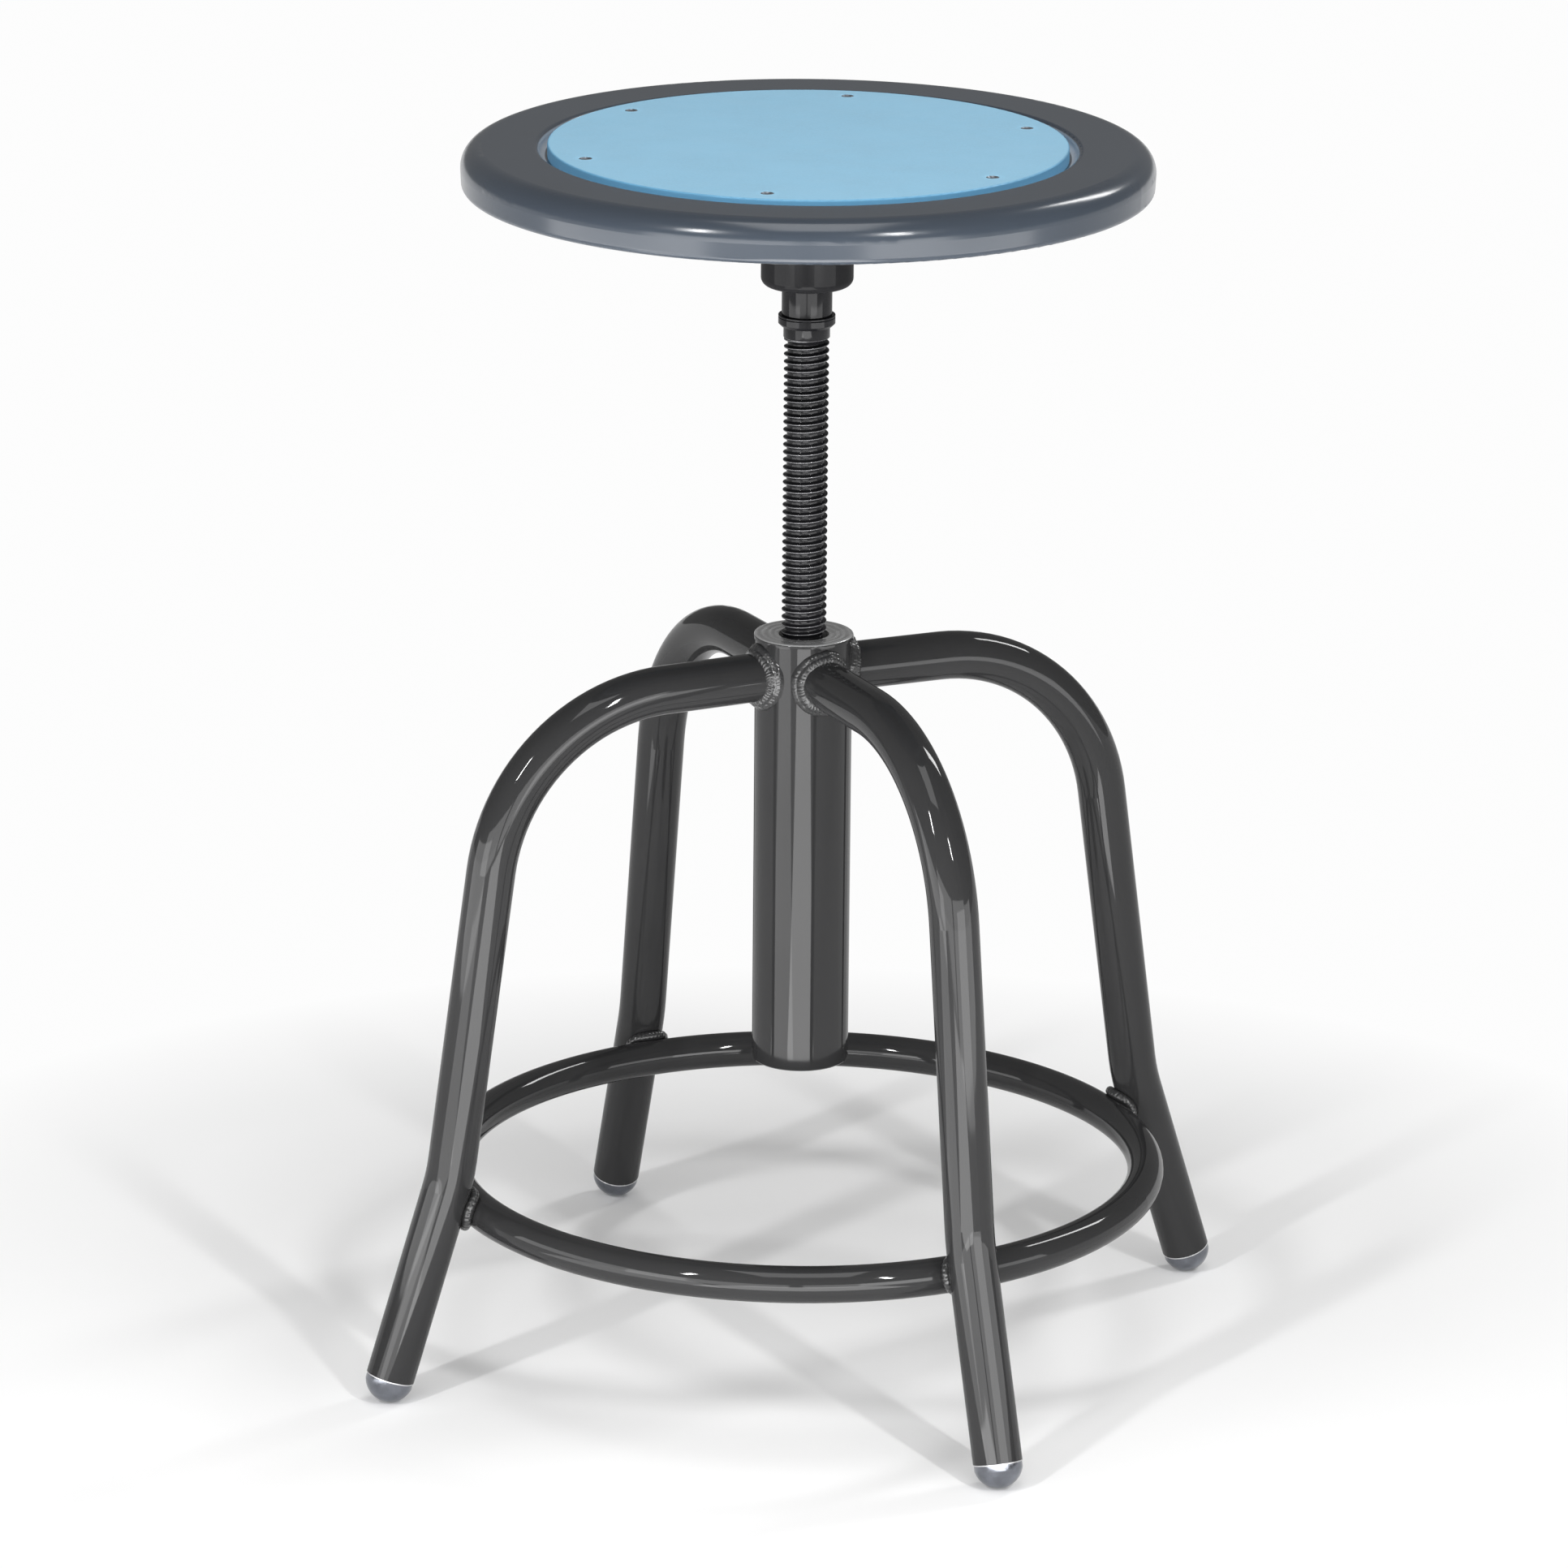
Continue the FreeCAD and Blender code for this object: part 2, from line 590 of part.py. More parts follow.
def glide():
    """Domed steel glide: stem in the tube, thin lip, round crown on the floor."""
    stem = LEG_RADIUS - LEG_WALL - PRESS_CLEARANCE
    shape = turned([(0, GLIDE_STEM_LENGTH, 0),
                    (stem - GLIDE_STEM_BEVEL, GLIDE_STEM_LENGTH, 0),
                    (stem, GLIDE_STEM_LENGTH - GLIDE_STEM_BEVEL, 0),
                    (stem, 0, 0),
                    (LEG_RADIUS, 0, 0),
                    (LEG_RADIUS, -GLIDE_LIP_THICKNESS - LEG_RADIUS, LEG_RADIUS),
                    (0, -GLIDE_LIP_THICKNESS - LEG_RADIUS, 0)])
    end_point, direction = foot_frame()
    shape.rotate(ORIGIN, FreeCAD.Vector(0, 1, 0), -LEG_FLARE)
    shape.translate(end_point)
    return shape


def leg_centre_radius(height):
    """Radius of the leg's centre line at a height below the knee bend."""
    end = leg_corners()[3]
    return end[0] - (height - end[1]) * math.tan(math.radians(LEG_FLARE))


def ring_radius():
    reach = (LEG_RADIUS + RING_TUBE_RADIUS + RING_WELD_GAP) / math.cos(math.radians(LEG_FLARE))
    return leg_centre_radius(RING_HEIGHT) - reach


def ring_tool(tube_radius):
    return Part.makeTorus(ring_radius(), tube_radius, xz(0, RING_HEIGHT))


def foot_ring():
    return ring_tool(RING_TUBE_RADIUS).cut(ring_tool(RING_TUBE_RADIUS - RING_TUBE_WALL))


def ring_weld():
    """Weld in the crevice between the ring and the leg along +X."""
    leg_line = leg_corners()[2:]
    bead = along(leg_line, LEG_RADIUS + RING_WELD_SIZE).common(ring_tool(RING_TUBE_RADIUS + RING_WELD_SIZE))
    bead = bead.cut(along(leg_line, LEG_RADIUS)).cut(ring_tool(RING_TUBE_RADIUS))
    return max(bead.Solids, key=lambda piece: piece.Volume)


def leg_angle(index):
    return LEG_FIRST_ANGLE + index * 360 / len(LEG_NAMES)


def all_parts():
    parts = {"seat_pan": seat_pan(),
             "seat_board": seat_board(),
             "board_rivets": Part.makeCompound(rivet_copies(rivet())),
             "backing_plate": backing_plate(),
             "seat_hub": seat_hub(),
             "hub_screws": Part.makeCompound(screw_copies(hub_screw())),
             "hub_nuts": Part.makeCompound(screw_copies(hub_nut())),
             "hub_set_screw": hub_set_screw(),
             "threaded_spindle": threaded_spindle(),
             "collar_washer": collar_washer(),
             "stop_collar": stop_collar(),
             "guide_bush": guide_bush(),
             "end_washer": end_washer(),
             "end_bolt": end_bolt(),
             "column_tube": column_tube(),
             "column_nut": column_nut(),
             "foot_ring": foot_ring()}
    root_leg = leg()
    root_glide = glide()
    for index, name in enumerate(LEG_NAMES):
        parts["leg_" + name] = turned_to(root_leg, leg_angle(index))
        parts["glide_" + name] = turned_to(root_glide, leg_angle(index))
    leg_bead = leg_weld()
    ring_bead = ring_weld()
    angles = [leg_angle(index) for index in range(len(LEG_NAMES))]
    parts["leg_welds"] = Part.makeCompound([turned_to(leg_bead, angle) for angle in angles])
    parts["ring_welds"] = Part.makeCompound([turned_to(ring_bead, angle) for angle in angles])
    return parts


os.makedirs("parts", exist_ok=True)
for name, shape in all_parts().items():
    shape.exportStep("parts/" + name + ".step")
    print(name, len(shape.Solids), shape.isValid(), round(shape.Volume, 1))
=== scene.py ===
"""Dresses the machinist stool: finishes, real screw thread, weld beads, rivets, glides and a
plain studio. Metres, +Z up, origin on the floor under the column."""

import math

import bmesh
import bpy
from bpy.props import FloatProperty, FloatVectorProperty, IntProperty, PointerProperty
from bpy.types import Operator, Panel, PropertyGroup
from mathutils import Matrix, Vector


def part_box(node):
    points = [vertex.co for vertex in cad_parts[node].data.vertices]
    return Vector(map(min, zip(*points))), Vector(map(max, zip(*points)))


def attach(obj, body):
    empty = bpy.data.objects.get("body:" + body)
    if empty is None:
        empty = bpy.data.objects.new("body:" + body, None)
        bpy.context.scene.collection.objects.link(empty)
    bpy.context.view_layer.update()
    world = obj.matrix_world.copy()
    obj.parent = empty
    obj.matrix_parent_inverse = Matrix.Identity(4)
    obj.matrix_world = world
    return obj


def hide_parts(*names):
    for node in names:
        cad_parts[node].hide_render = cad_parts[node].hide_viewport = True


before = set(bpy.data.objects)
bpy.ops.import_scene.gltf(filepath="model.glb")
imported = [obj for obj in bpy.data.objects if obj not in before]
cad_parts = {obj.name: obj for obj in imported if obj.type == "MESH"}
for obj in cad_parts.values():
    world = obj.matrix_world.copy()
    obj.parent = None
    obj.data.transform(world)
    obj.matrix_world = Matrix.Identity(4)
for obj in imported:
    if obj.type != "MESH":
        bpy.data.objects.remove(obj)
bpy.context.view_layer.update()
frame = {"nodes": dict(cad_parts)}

bl_info = {
    "name": "Machinist Stool",
    "version": (1, 0, 0),
    "blender": (4, 5, 0),
    "location": "3D View > Sidebar > Stool",
    "description": "Dresses the pieces of a height-adjustable machinist stool",
    "category": "Object",
}

BASE = "base"
SEAT = "seat_and_spindle"
LEG_NAMES = ("back_right", "back_left", "front_left", "front_right")
TURN = 2 * math.pi
MERGE = 1e-7
SENSOR_WIDTH = 36
# Distance from a crest's middle along the axis, and depth below the crest there, in metres
THREAD_SECTION = ((0.00012, 0.00001), (0.00025, 0.00006), (0.00037, 0.00016), (0.00048, 0.00033),
                  (0.00084, 0.00145), (0.00098, 0.00175), (0.00116, 0.00190), (0.00140, 0.00195))
SPARE_TURNS = 2

# Steps round a turned piece, and along the glide's crown
GLIDE_SEGMENTS = 72
CROWN_STEPS = 32
RIVET_SEGMENTS = 40
FLOOR_SEGMENTS = 96

# Weld beads: each wave's count round the leg, and its share of the drift
WAVES = ((3, 0.40), (5, 0.30), (9, 0.18), (17, 0.12))
WAVE_SHIFT = 1.7
RIPPLE_STEPS = 8
RIPPLE_LAG = 0.5
RIPPLE_WANDER = 0.6
PASS_SHIFT = 0.37
ROOT_SINKS = 3
TANGENT_STEP = 0.01
RING_BEAD_ROWS = 16
TOUCH_HALVINGS = 40

# Noise keeps mostly inside these bands
WIDE = (0.3, 0.7)
NARROW = (0.35, 0.65)
SPECKS = (0.62, 0.75)

# Tones that the settings leave alone, the darker first
NYLON_TONES = ((0.62, 0.60, 0.55), (0.74, 0.72, 0.67))
# The nut face's light greys, and the blotches in them, are a painted reflection of the bright room
PAINTED_REFLECTION_TONES = ((0.20, 0.20, 0.20), (0.46, 0.46, 0.46))
BLOTCH_TONE = (0.34, 0.34, 0.34)
FLOOR_TONES = ((0.87, 0.87, 0.87), (0.89, 0.89, 0.89))
ROOM_TONE = (1, 0.995, 0.985)

# Turning marks on the nut's face and the rings of its painted reflection, in metres
TURNING_PITCH = 0.0034
TURNING_WANDER = 0.006
# Burnished crests: depths where it starts and is full, and how metallic it gets
CREST_WEAR = (0.00010, 0.00003)
CREST_METAL = 0.5
# Board: the paler ring round a rivet in head radii, its strength, and the dark edge
PALE_RING_REACH = (1.15, 1.9)
PALE_RING_STRENGTH = 0.3
BOARD_EDGE = (0.0012, 0.0002)
BOARD_EDGE_TONE = (0.5, 0.72, 0.85)

# Lamps: name, degrees from the camera's side, place and aim as (reach from the axis, height),
# (width, height), and the setting that holds the brightness
LAMPS = (
    ("overhead_box", 4, (0.60, 2.40), (0.60, 0), (0.90, 1.50), "overhead_level"),
    ("left_key", -37, (2.2, 1.9), (0, 0.5), (0.10, 0.50), "key_level"),
    ("right_key", 30, (2.2, 1.9), (0, 0.5), (0.10, 0.50), "key_level"),
    ("back_strip", 128, (2.0, 2.0), (0, 0.4), (0.30, 0.90), "back_level"),
    ("left_panel", -27, (2.3, 0.40), (0, 0.4), (2.10, 0.70), "panel_level"),
    ("right_panel", 24, (2.3, 0.40), (0, 0.4), (1.90, 0.70), "panel_level"),
    ("low_card", 1, (0.735, 0.080), (0.503, 1.053), (0.50, 0.647), "card_level"),
    ("left_low_card", -44, (0.735, 0.080), (0.503, 1.053), (0.46, 0.647), "left_card_level"),
    ("left_board", -60, (1.0, 0.26), (0, 0.40), (1.10, 0.28), "board_level"),
    ("right_board", 46, (1.0, 0.26), (0, 0.40), (1.10, 0.28), "board_level"),
)


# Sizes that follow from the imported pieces

def radius_of(node):
    low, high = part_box(node)
    return (high.x - low.x) / 2


def bottom_of(node):
    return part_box(node)[0].z


def top_of(node):
    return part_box(node)[1].z


# Settings

def tint(name, description, default):
    return FloatVectorProperty(
        name=name, description=description, subtype="COLOR", size=3, min=0, max=1, default=default)


def length(name, description, default):
    return FloatProperty(
        name=name, description=description, subtype="DISTANCE", precision=5, default=default)


def bearing(name, description, default):
    return FloatProperty(name=name, description=description, subtype="ANGLE", default=default)


def amount(name, description, default):
    return FloatProperty(name=name, description=description, default=default)


def number(name, description, default, least=1):
    return IntProperty(name=name, description=description, min=least, default=default)


class StoolColours(PropertyGroup):
    frame: tint("Frame", "Enamel on the column, legs and foot ring", (0.022, 0.022, 0.0225))
    rim: tint("Rim", "Enamel on the seat pan", (0.037, 0.047, 0.062))
    board: tint("Board", "Face of the seat board", (0.290, 0.545, 0.728))
    black: tint("Hub", "Black enamel on the hub", (0.014, 0.014, 0.015))
    oxide: tint("Spindle", "Oiled black on the spindle and its collar", (0.008, 0.008, 0.009))
    crest: tint("Crests", "Burnished crests of the spindle's thread", (0.13, 0.13, 0.135))
    rivet: tint("Rivets", "Dark steel of the rivets and hidden fasteners", (0.018, 0.026, 0.036))
    glide: tint("Glides", "Polished steel of the glides' domes", (0.20, 0.21, 0.235))
    lip: tint("Glide lips", "Bright steel of the glides' lips", (0.62, 0.62, 0.63))
    zinc: tint("Zinc", "Plated washer and bolt in the spindle's end", (0.55, 0.56, 0.58))


class StoolRecess(PropertyGroup):
    gap: length("Gap", "Between the board and the pan", 0.0045)
    shadow: length("Shadow", "Dark corner next to the board", 0.0010)
    shadow_end: length("Shadow end", "Where that corner is over", 0.0014)
    # Painted highlight: the light band in the recess's corner, with its fade and colour below
    highlight_edge: length("Worn edge", "Fading of the bare steel over the edge", 0.0006)
    painted_highlight: tint("Bare steel", "Bright steel in the recess's corner", (0.42, 0.46, 0.51))


class StoolThread(PropertyGroup):
    diameter: length("Diameter", "Across the thread's crests", 0.0234)
    pitch: length("Pitch", "Rise of the seat for each turn", 0.0040)
    exposed: length("Exposed length", "From the nut to the land, seat at the top", 0.1578)
    crest_height: length("Crest height", "Height of a crest on the spindle's +X side", 0.5477)
    fit: length("Fit", "Gap between the spindle's thread and the nut's", 0.00012)
    segments: number("Segments", "Steps round one turn", 72, least=12)


class StoolSpindle(PropertyGroup):
    land_diameter: length("Land", "Plain length above the thread", 0.0240)
    neck_diameter: length("Neck", "Where the guide bush sits", 0.0160)
    shoulder_step: length("Shoulder", "Step from the neck to the thread's root", 0.00175)
    bolt_diameter: length("Bolt hole", "Tapped hole in the lower end", 0.01006)
    bolt_reach: length("Bolt reach", "Depth of the tapped hole", 0.0220)
    bevel: length("Bevel", "Bevel at both ends", 0.0010)


class StoolNut(PropertyGroup):
    body_diameter: length("Body", "Part inside the column", 0.04234)
    mouth_bevel: length("Mouth bevel", "Countersink of the tapped hole", 0.0014)
    dish_depth: length("Dish", "Fall of the flange towards the hole", 0.0008)
    edge_radius: length("Edge radius", "Rounding of the flange's edge", 0.0012)


class StoolLegs(PropertyGroup):
    diameter: length("Diameter", "Outside of the leg tubes", 0.0254)
    root_height: length("Root height", "Where a leg meets the column", 0.3681)
    root_slope: bearing("Root slope", "Fall of a leg where it leaves the column", math.radians(0.6))
    flare: bearing("Flare", "Lean of a leg below its knee", math.radians(18))
    foot_radius: length("Foot radius", "From the axis to the middle of a tube's end", 0.235003)
    foot_height: length("Foot height", "Height of the middle of a tube's end", 0.013461)


class StoolWelds(PropertyGroup):
    leg_size: length("Leg weld", "Reach along the leg and along the column", 0.0050)
    leg_ripples: number("Leg ripples", "Ripples round one leg's root", 46)
    rows: number("Rows", "Steps across a leg's bead", 16, least=4)
    crown: length("Crown", "Swell of a leg's bead over the line between its toes", 0.0006)
    lobe: length("Lobe", "Swell of each of its two passes", 0.0003)
    ripple: length("Ripple", "Height of one ripple", 0.00040)
    wander: length("Wander", "How far a bead's size drifts along it", 0.0007)
    sink: length("Sink", "How far a bead's toes run into the metal", 0.00015)
    ring_radius: length("Ring weld", "Radius of the bead between the ring and a leg", 0.0022)
    ring_proud: length("Ring proud", "Swell of that bead", 0.0004)
    ring_ripples: number("Ring ripples", "Ripples round one ring weld", 30)


class StoolGlides(PropertyGroup):
    stem_diameter: length("Stem", "Stem pressed in the tube", 0.02134)
    stem_length: length("Stem length", "Reach of the stem into the tube", 0.0160)
    bevel: length("Bevel", "Bevel at the stem's end", 0.0015)
    lip: length("Lip", "Thickness of the bright lip", 0.0007)
    groove: length("Groove", "Depth of the groove under the lip", 0.00035)
    crown_drop: length("Crown drop", "From the tube's end to the crown's centre", 0.0008)


class StoolRivets(PropertyGroup):
    count: number("Count", "Rivets round the board", 6)
    circle_diameter: length("Circle", "Circle through the rivets", 0.2394)
    first_angle: bearing("First angle", "Place of the first rivet from +X", math.radians(39.5))
    head_diameter: length("Head", "Across the head", 0.0074)
    head_height: length("Head height", "Depth of the head in the board", 0.0016)
    shank_diameter: length("Shank", "Across the shank", 0.0040)
    tail_diameter: length("Tail", "Across the set tail", 0.0070)
    tail_height: length("Tail height", "Height of the set tail", 0.0018)
    dish: length("Dish", "Fall of the head towards its middle", 0.0006)
    dish_mouth: length("Dish mouth", "Across the dish at the head's face", 0.005328)
    dish_floor: length("Dish floor", "Across the dish's flat middle", 0.0037)
    hole: length("Hole", "Hole in the head's middle", 0.0014)


class StoolStudio(PropertyGroup):
    camera_distance: length("Camera distance", "From the column's axis, along the floor", 3.74914)
    camera_height: length("Camera height", "Above the floor", 1.45571)
    camera_heading: bearing("Heading", "Where the camera stands, from +X towards +Y", -1.23570)
    camera_yaw: bearing("Yaw", "Turn of the view to the right, away from the axis", -0.00256)
    camera_pitch: bearing("Pitch", "Dip of the view below the horizon", 0.29736)
    camera_roll: bearing("Roll", "Tilt of the camera about its view", 0.00885)
    lens: amount("Lens", "Focal length on a 36 mm sensor, in millimetres", 172.334)
    floor_radius: length("Floor radius", "Reach of the pale floor", 14.0)
    floor_depth: length("Floor depth", "Thickness of the floor", 0.02)
    fade_start: length("Fade start", "Where the floor begins to turn white", 0.34)
    fade_end: length("Fade end", "Where the floor is plain white", 0.62)
    white_level: amount("White level", "Brightness of the far floor", 0.98)
    room_level: amount("Room", "Even light from all round", 0.24)
    overhead_level: amount("Overhead", "Brightness of the overhead box", 3.2)
    key_level: amount("Keys", "Brightness of the two small keys", 125.0)
    back_level: amount("Back strip", "Brightness of the strip behind", 18.0)
    panel_level: amount("Panels", "Brightness of the far front panels", 3.6)
    card_level: amount("Card", "Brightness of the low card in front", 6.0)
    left_card_level: amount("Left card", "Brightness of the low card at the left", 3.0)
    board_level: amount("Boards", "Brightness of the low boards at the sides", 3.4)


class StoolSettings(PropertyGroup):
    colours: PointerProperty(type=StoolColours)
    recess: PointerProperty(type=StoolRecess)
    thread: PointerProperty(type=StoolThread)
    spindle: PointerProperty(type=StoolSpindle)
    nut: PointerProperty(type=StoolNut)
    legs: PointerProperty(type=StoolLegs)
    welds: PointerProperty(type=StoolWelds)
    glide: PointerProperty(type=StoolGlides)
    rivet: PointerProperty(type=StoolRivets)
    studio: PointerProperty(type=StoolStudio)


def settings():
    return bpy.context.scene.stool


# Materials

class Nodes:
    """Short way to add and link the nodes of one material."""

    def __init__(self, name):
        self.material = bpy.data.materials.new(name)
        self.material.use_nodes = True
        self.tree = self.material.node_tree
        self.tree.nodes.clear()
        self.output = self.tree.nodes.new("ShaderNodeOutputMaterial")
        self.place = self.tree.nodes.new("ShaderNodeTexCoord").outputs["Object"]

    def link(self, source, target):
        self.tree.links.new(source, target)

    def noise(self, scale, detail=3.0, roughness=0.5, stretch=None):
        """Noise in the piece's own space, its scale in waves for each metre."""
        place = self.place
        if stretch:
            mapping = self.tree.nodes.new("ShaderNodeMapping")
            mapping.inputs["Scale"].default_value = stretch
            self.link(place, mapping.inputs["Vector"])
            place = mapping.outputs["Vector"]
        node = self.tree.nodes.new("ShaderNodeTexNoise")
        node.inputs["Scale"].default_value = scale
        node.inputs["Detail"].default_value = detail
        node.inputs["Roughness"].default_value = roughness
        self.link(place, node.inputs["Vector"])
        return node.outputs["Fac"]

    def cloud(self, scale, detail, low=0.0, high=1.0, band=WIDE, roughness=0.5):
        """Noise whose band is spread between two values."""
        return self.remap(self.noise(scale, detail, roughness), *band, low, high)

    def distance(self, along, across):
        squares = self.math("ADD", self.math("MULTIPLY", along, along),
                            self.math("MULTIPLY", across, across))
        return self.math("SQRT", squares)

    def reach(self):
        """Distance of a point from the column's axis; its own X and Y are kept as x and y."""
        split = self.tree.nodes.new("ShaderNodeSeparateXYZ")
        self.link(self.place, split.inputs["Vector"])
        self.x, self.y = split.outputs["X"], split.outputs["Y"]
        return self.distance(self.x, self.y)

    def remap(self, source, low, high, to_low, to_high):
        node = self.tree.nodes.new("ShaderNodeMapRange")
        ends = {"From Min": low, "From Max": high, "To Min": to_low, "To Max": to_high}
        for name, value in ends.items():
            node.inputs[name].default_value = value
        self.link(source, node.inputs["Value"])
        return node.outputs["Result"]

    def math(self, operation, *values):
        node = self.tree.nodes.new("ShaderNodeMath")
        node.operation = operation
        for socket, value in zip(node.inputs, values):
            if isinstance(value, (int, float)):
                socket.default_value = value
            else:
                self.link(value, socket)
        return node.outputs["Value"]

    def mix(self, factor, first, second):
        """Colour between two, each a socket or an RGB triple."""
        node = self.tree.nodes.new("ShaderNodeMix")
        node.data_type = "RGBA"
        self.link(factor, node.inputs["Factor"])
        for name, value in (("A", first), ("B", second)):
            socket = [s for s in node.inputs if s.name == name and s.type == "RGBA"][0]
            if hasattr(value, "is_linked"):
                self.link(value, socket)
            else:
                socket.default_value = (*value, 1)
        return [s for s in node.outputs if s.type == "RGBA"][0]

    def blend(self, factor, first, second):
        node = self.tree.nodes.new("ShaderNodeMixShader")
        for socket, source in zip(node.inputs, (factor, first, second)):
            self.link(source, socket)
        return node.outputs["Shader"]

    def bump(self, height, distance, strength=1.0):
        node = self.tree.nodes.new("ShaderNodeBump")
        node.inputs["Strength"].default_value = strength
        node.inputs["Distance"].default_value = distance
        self.link(height, node.inputs["Height"])
        return node.outputs["Normal"]

    def shader(self, colour, roughness, normal, **values):
        """Surface whose values are named by their sockets."""
        node = self.surface = self.tree.nodes.new("ShaderNodeBsdfPrincipled")
        for name, value in values.items():
            node.inputs[name.replace("_", " ").title().replace("Ior", "IOR")].default_value = value
        self.link(colour, node.inputs["Base Color"])
        self.link(roughness, node.inputs["Roughness"])
        self.link(normal, node.inputs["Normal"])
        self.link(node.outputs["BSDF"], self.output.inputs["Surface"])
        return self.material


def shade(colour, factor):
    return tuple(channel * factor for channel in colour)


def enamel(name, colour, roughness, peel, **values):
    """Sprayed enamel on steel: slight tone drift, orange peel and fine dust in the film."""
    nodes = Nodes(name)
    drift = nodes.cloud(14, 4)
    tone = nodes.mix(drift, shade(colour, 0.93), shade(colour, 1.07))
    specks = nodes.cloud(2600, 2, 0, 0.3, SPECKS)
    tone = nodes.mix(specks, tone, shade(colour, 1.3))
    gloss = nodes.cloud(40, 3, roughness - 0.04, roughness + 0.05)
    skin = nodes.bump(nodes.noise(520, 2, 0.4), peel)
    return nodes.shader(tone, gloss, skin, **values)


def black_oxide(name, colour, crest=None):
    """Oiled black steel with faint tool marks, burnished near the radius of the thread's crest."""
    nodes = Nodes(name)
    tone = nodes.mix(nodes.cloud(60, 4, band=NARROW), shade(colour, 0.75), shade(colour, 1.6))
    gloss = nodes.cloud(220, 3, 0.12, 0.24)
    marks = nodes.bump(nodes.noise(90, 2, stretch=(1, 1, 60)), 0.00002)
    if crest:
        worn = nodes.remap(nodes.reach(), crest - CREST_WEAR[0], crest - CREST_WEAR[1], 0, 1)
        tone = nodes.mix(worn, tone, settings().colours.crest)
    material = nodes.shader(tone, gloss, marks, specular_ior_level=0.0, coat_weight=0.4,
                            coat_roughness=0.09)
    if crest:
        nodes.link(nodes.math("MULTIPLY", worn, CREST_METAL), nodes.surface.inputs["Metallic"])
    return material


def turned_steel(name, colour, roughness, metallic=1.0):
    """Bare steel with fine scratches and a little staining."""
    nodes = Nodes(name)
    tone = nodes.mix(nodes.cloud(120, 4, band=NARROW), shade(colour, 0.8), shade(colour, 1.15))
    gloss = nodes.cloud(700, 3, roughness - 0.05, roughness + 0.08)
    scratches = nodes.bump(nodes.noise(400, 3, 0.6, stretch=(1, 1, 9)), 0.00001)
    return nodes.shader(tone, gloss, scratches, metallic=metallic)


def nylon(name):
    """Pale nylon, matt and slightly grainy."""
    nodes = Nodes(name)
    tone = nodes.mix(nodes.noise(60, 3), *NYLON_TONES)
    grain = nodes.bump(nodes.noise(900, 2), 0.00002)
    return nodes.shader(tone, nodes.cloud(300, 2, 0.38, 0.5), grain)


def dress(node, material):
    """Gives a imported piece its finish."""
    piece = frame["nodes"][node]
    piece.data.materials.clear()
    piece.data.materials.append(material)


def finish_named(name, make, colour, *details, **values):
    """The material of that name, made in a colour of the settings when it is first asked for."""
    made = bpy.data.materials.get(name)
    return made or make(name, getattr(settings().colours, colour), *details, **values)


def frame_enamel():
    return finish_named("charcoal_enamel", enamel, "frame", 0.34, 0.00001, specular_ior_level=0.0,
                        coat_weight=0.64, coat_roughness=0.05, coat_ior=1.45)


def bead_enamel():
    return finish_named("bead_enamel", enamel, "frame", 0.30, 0.00004, specular_ior_level=0.2,
                        coat_weight=0.8, coat_roughness=0.03, coat_ior=1.5)


def hub_enamel():
    return finish_named("hub_black", enamel, "black", 0.34, 0.00001, specular_ior_level=0.0,
                        coat_weight=0.15, coat_roughness=0.08)


def rim_enamel():
    """Smooth slate enamel with a painted highlight: the room's reflection painted on the recess's
    lip.
    """
    nodes = Nodes("slate_enamel")
    colour = settings().colours.rim
    recess = settings().recess
    board = radius_of("seat_board")
    reach = nodes.reach()
    drift = nodes.cloud(14, 4)
    tone = nodes.mix(drift, shade(colour, 0.95), shade(colour, 1.05))
    inside = nodes.remap(reach, board + recess.shadow, board + recess.shadow_end, 0, 1)
    outside = nodes.remap(reach, board + recess.gap, board + recess.gap + recess.highlight_edge, 1, 0)
    # Painted highlight: the light band over the recess's lip stands in for the room's reflection
    tone = nodes.mix(nodes.math("MULTIPLY", inside, outside), tone, recess.painted_highlight)
    gloss = nodes.cloud(40, 3, 0.26, 0.34)
    skin = nodes.bump(nodes.noise(520, 2, 0.4), 0.000002)
    return nodes.shader(tone, gloss, skin, specular_ior_level=0.0, coat_weight=1.0,
                        coat_roughness=0.2, coat_ior=1.5)


def spindle_black():
    return finish_named("spindle_black", black_oxide, "oxide")


def thread_black():
    return finish_named("thread_black", black_oxide, "oxide", settings().thread.diameter / 2)


def turned_face():
    """Turning marks, rings about the column's axis, as a bump; the light greys are a painted
    reflection.
    """
    nodes = Nodes("turned_face")
    wander = nodes.math("MULTIPLY", nodes.noise(55, 2), TURNING_WANDER)
    reach = nodes.math("ADD", nodes.reach(), wander)
    rings = nodes.math("SINE", nodes.math("MULTIPLY", reach, TURN / TURNING_PITCH))
    marks = nodes.remap(rings, -1, 1, 0, 1)
    # Painted reflection: light and dark grey rings and blotches on the nut's face
    tone = nodes.mix(marks, *PAINTED_REFLECTION_TONES)
    tone = nodes.mix(nodes.cloud(70, 2, 0, 0.6, NARROW), tone, BLOTCH_TONE)
    return nodes.shader(tone, nodes.cloud(90, 2, 0.16, 0.30), nodes.bump(marks, 0.00003, 0.5),
                        metallic=0.4, coat_weight=0.8, coat_roughness=0.04)


def dark_steel():
    return finish_named("dark_steel", turned_steel, "rivet", 0.4, metallic=0.2)


def bright_steel():
    return finish_named("bright_steel", turned_steel, "lip", 0.35)


def crown_steel():
    return finish_named("crown_steel", turned_steel, "glide", 0.16)


def zinc():
    return finish_named("zinc_plate", turned_steel, "zinc", 0.32)


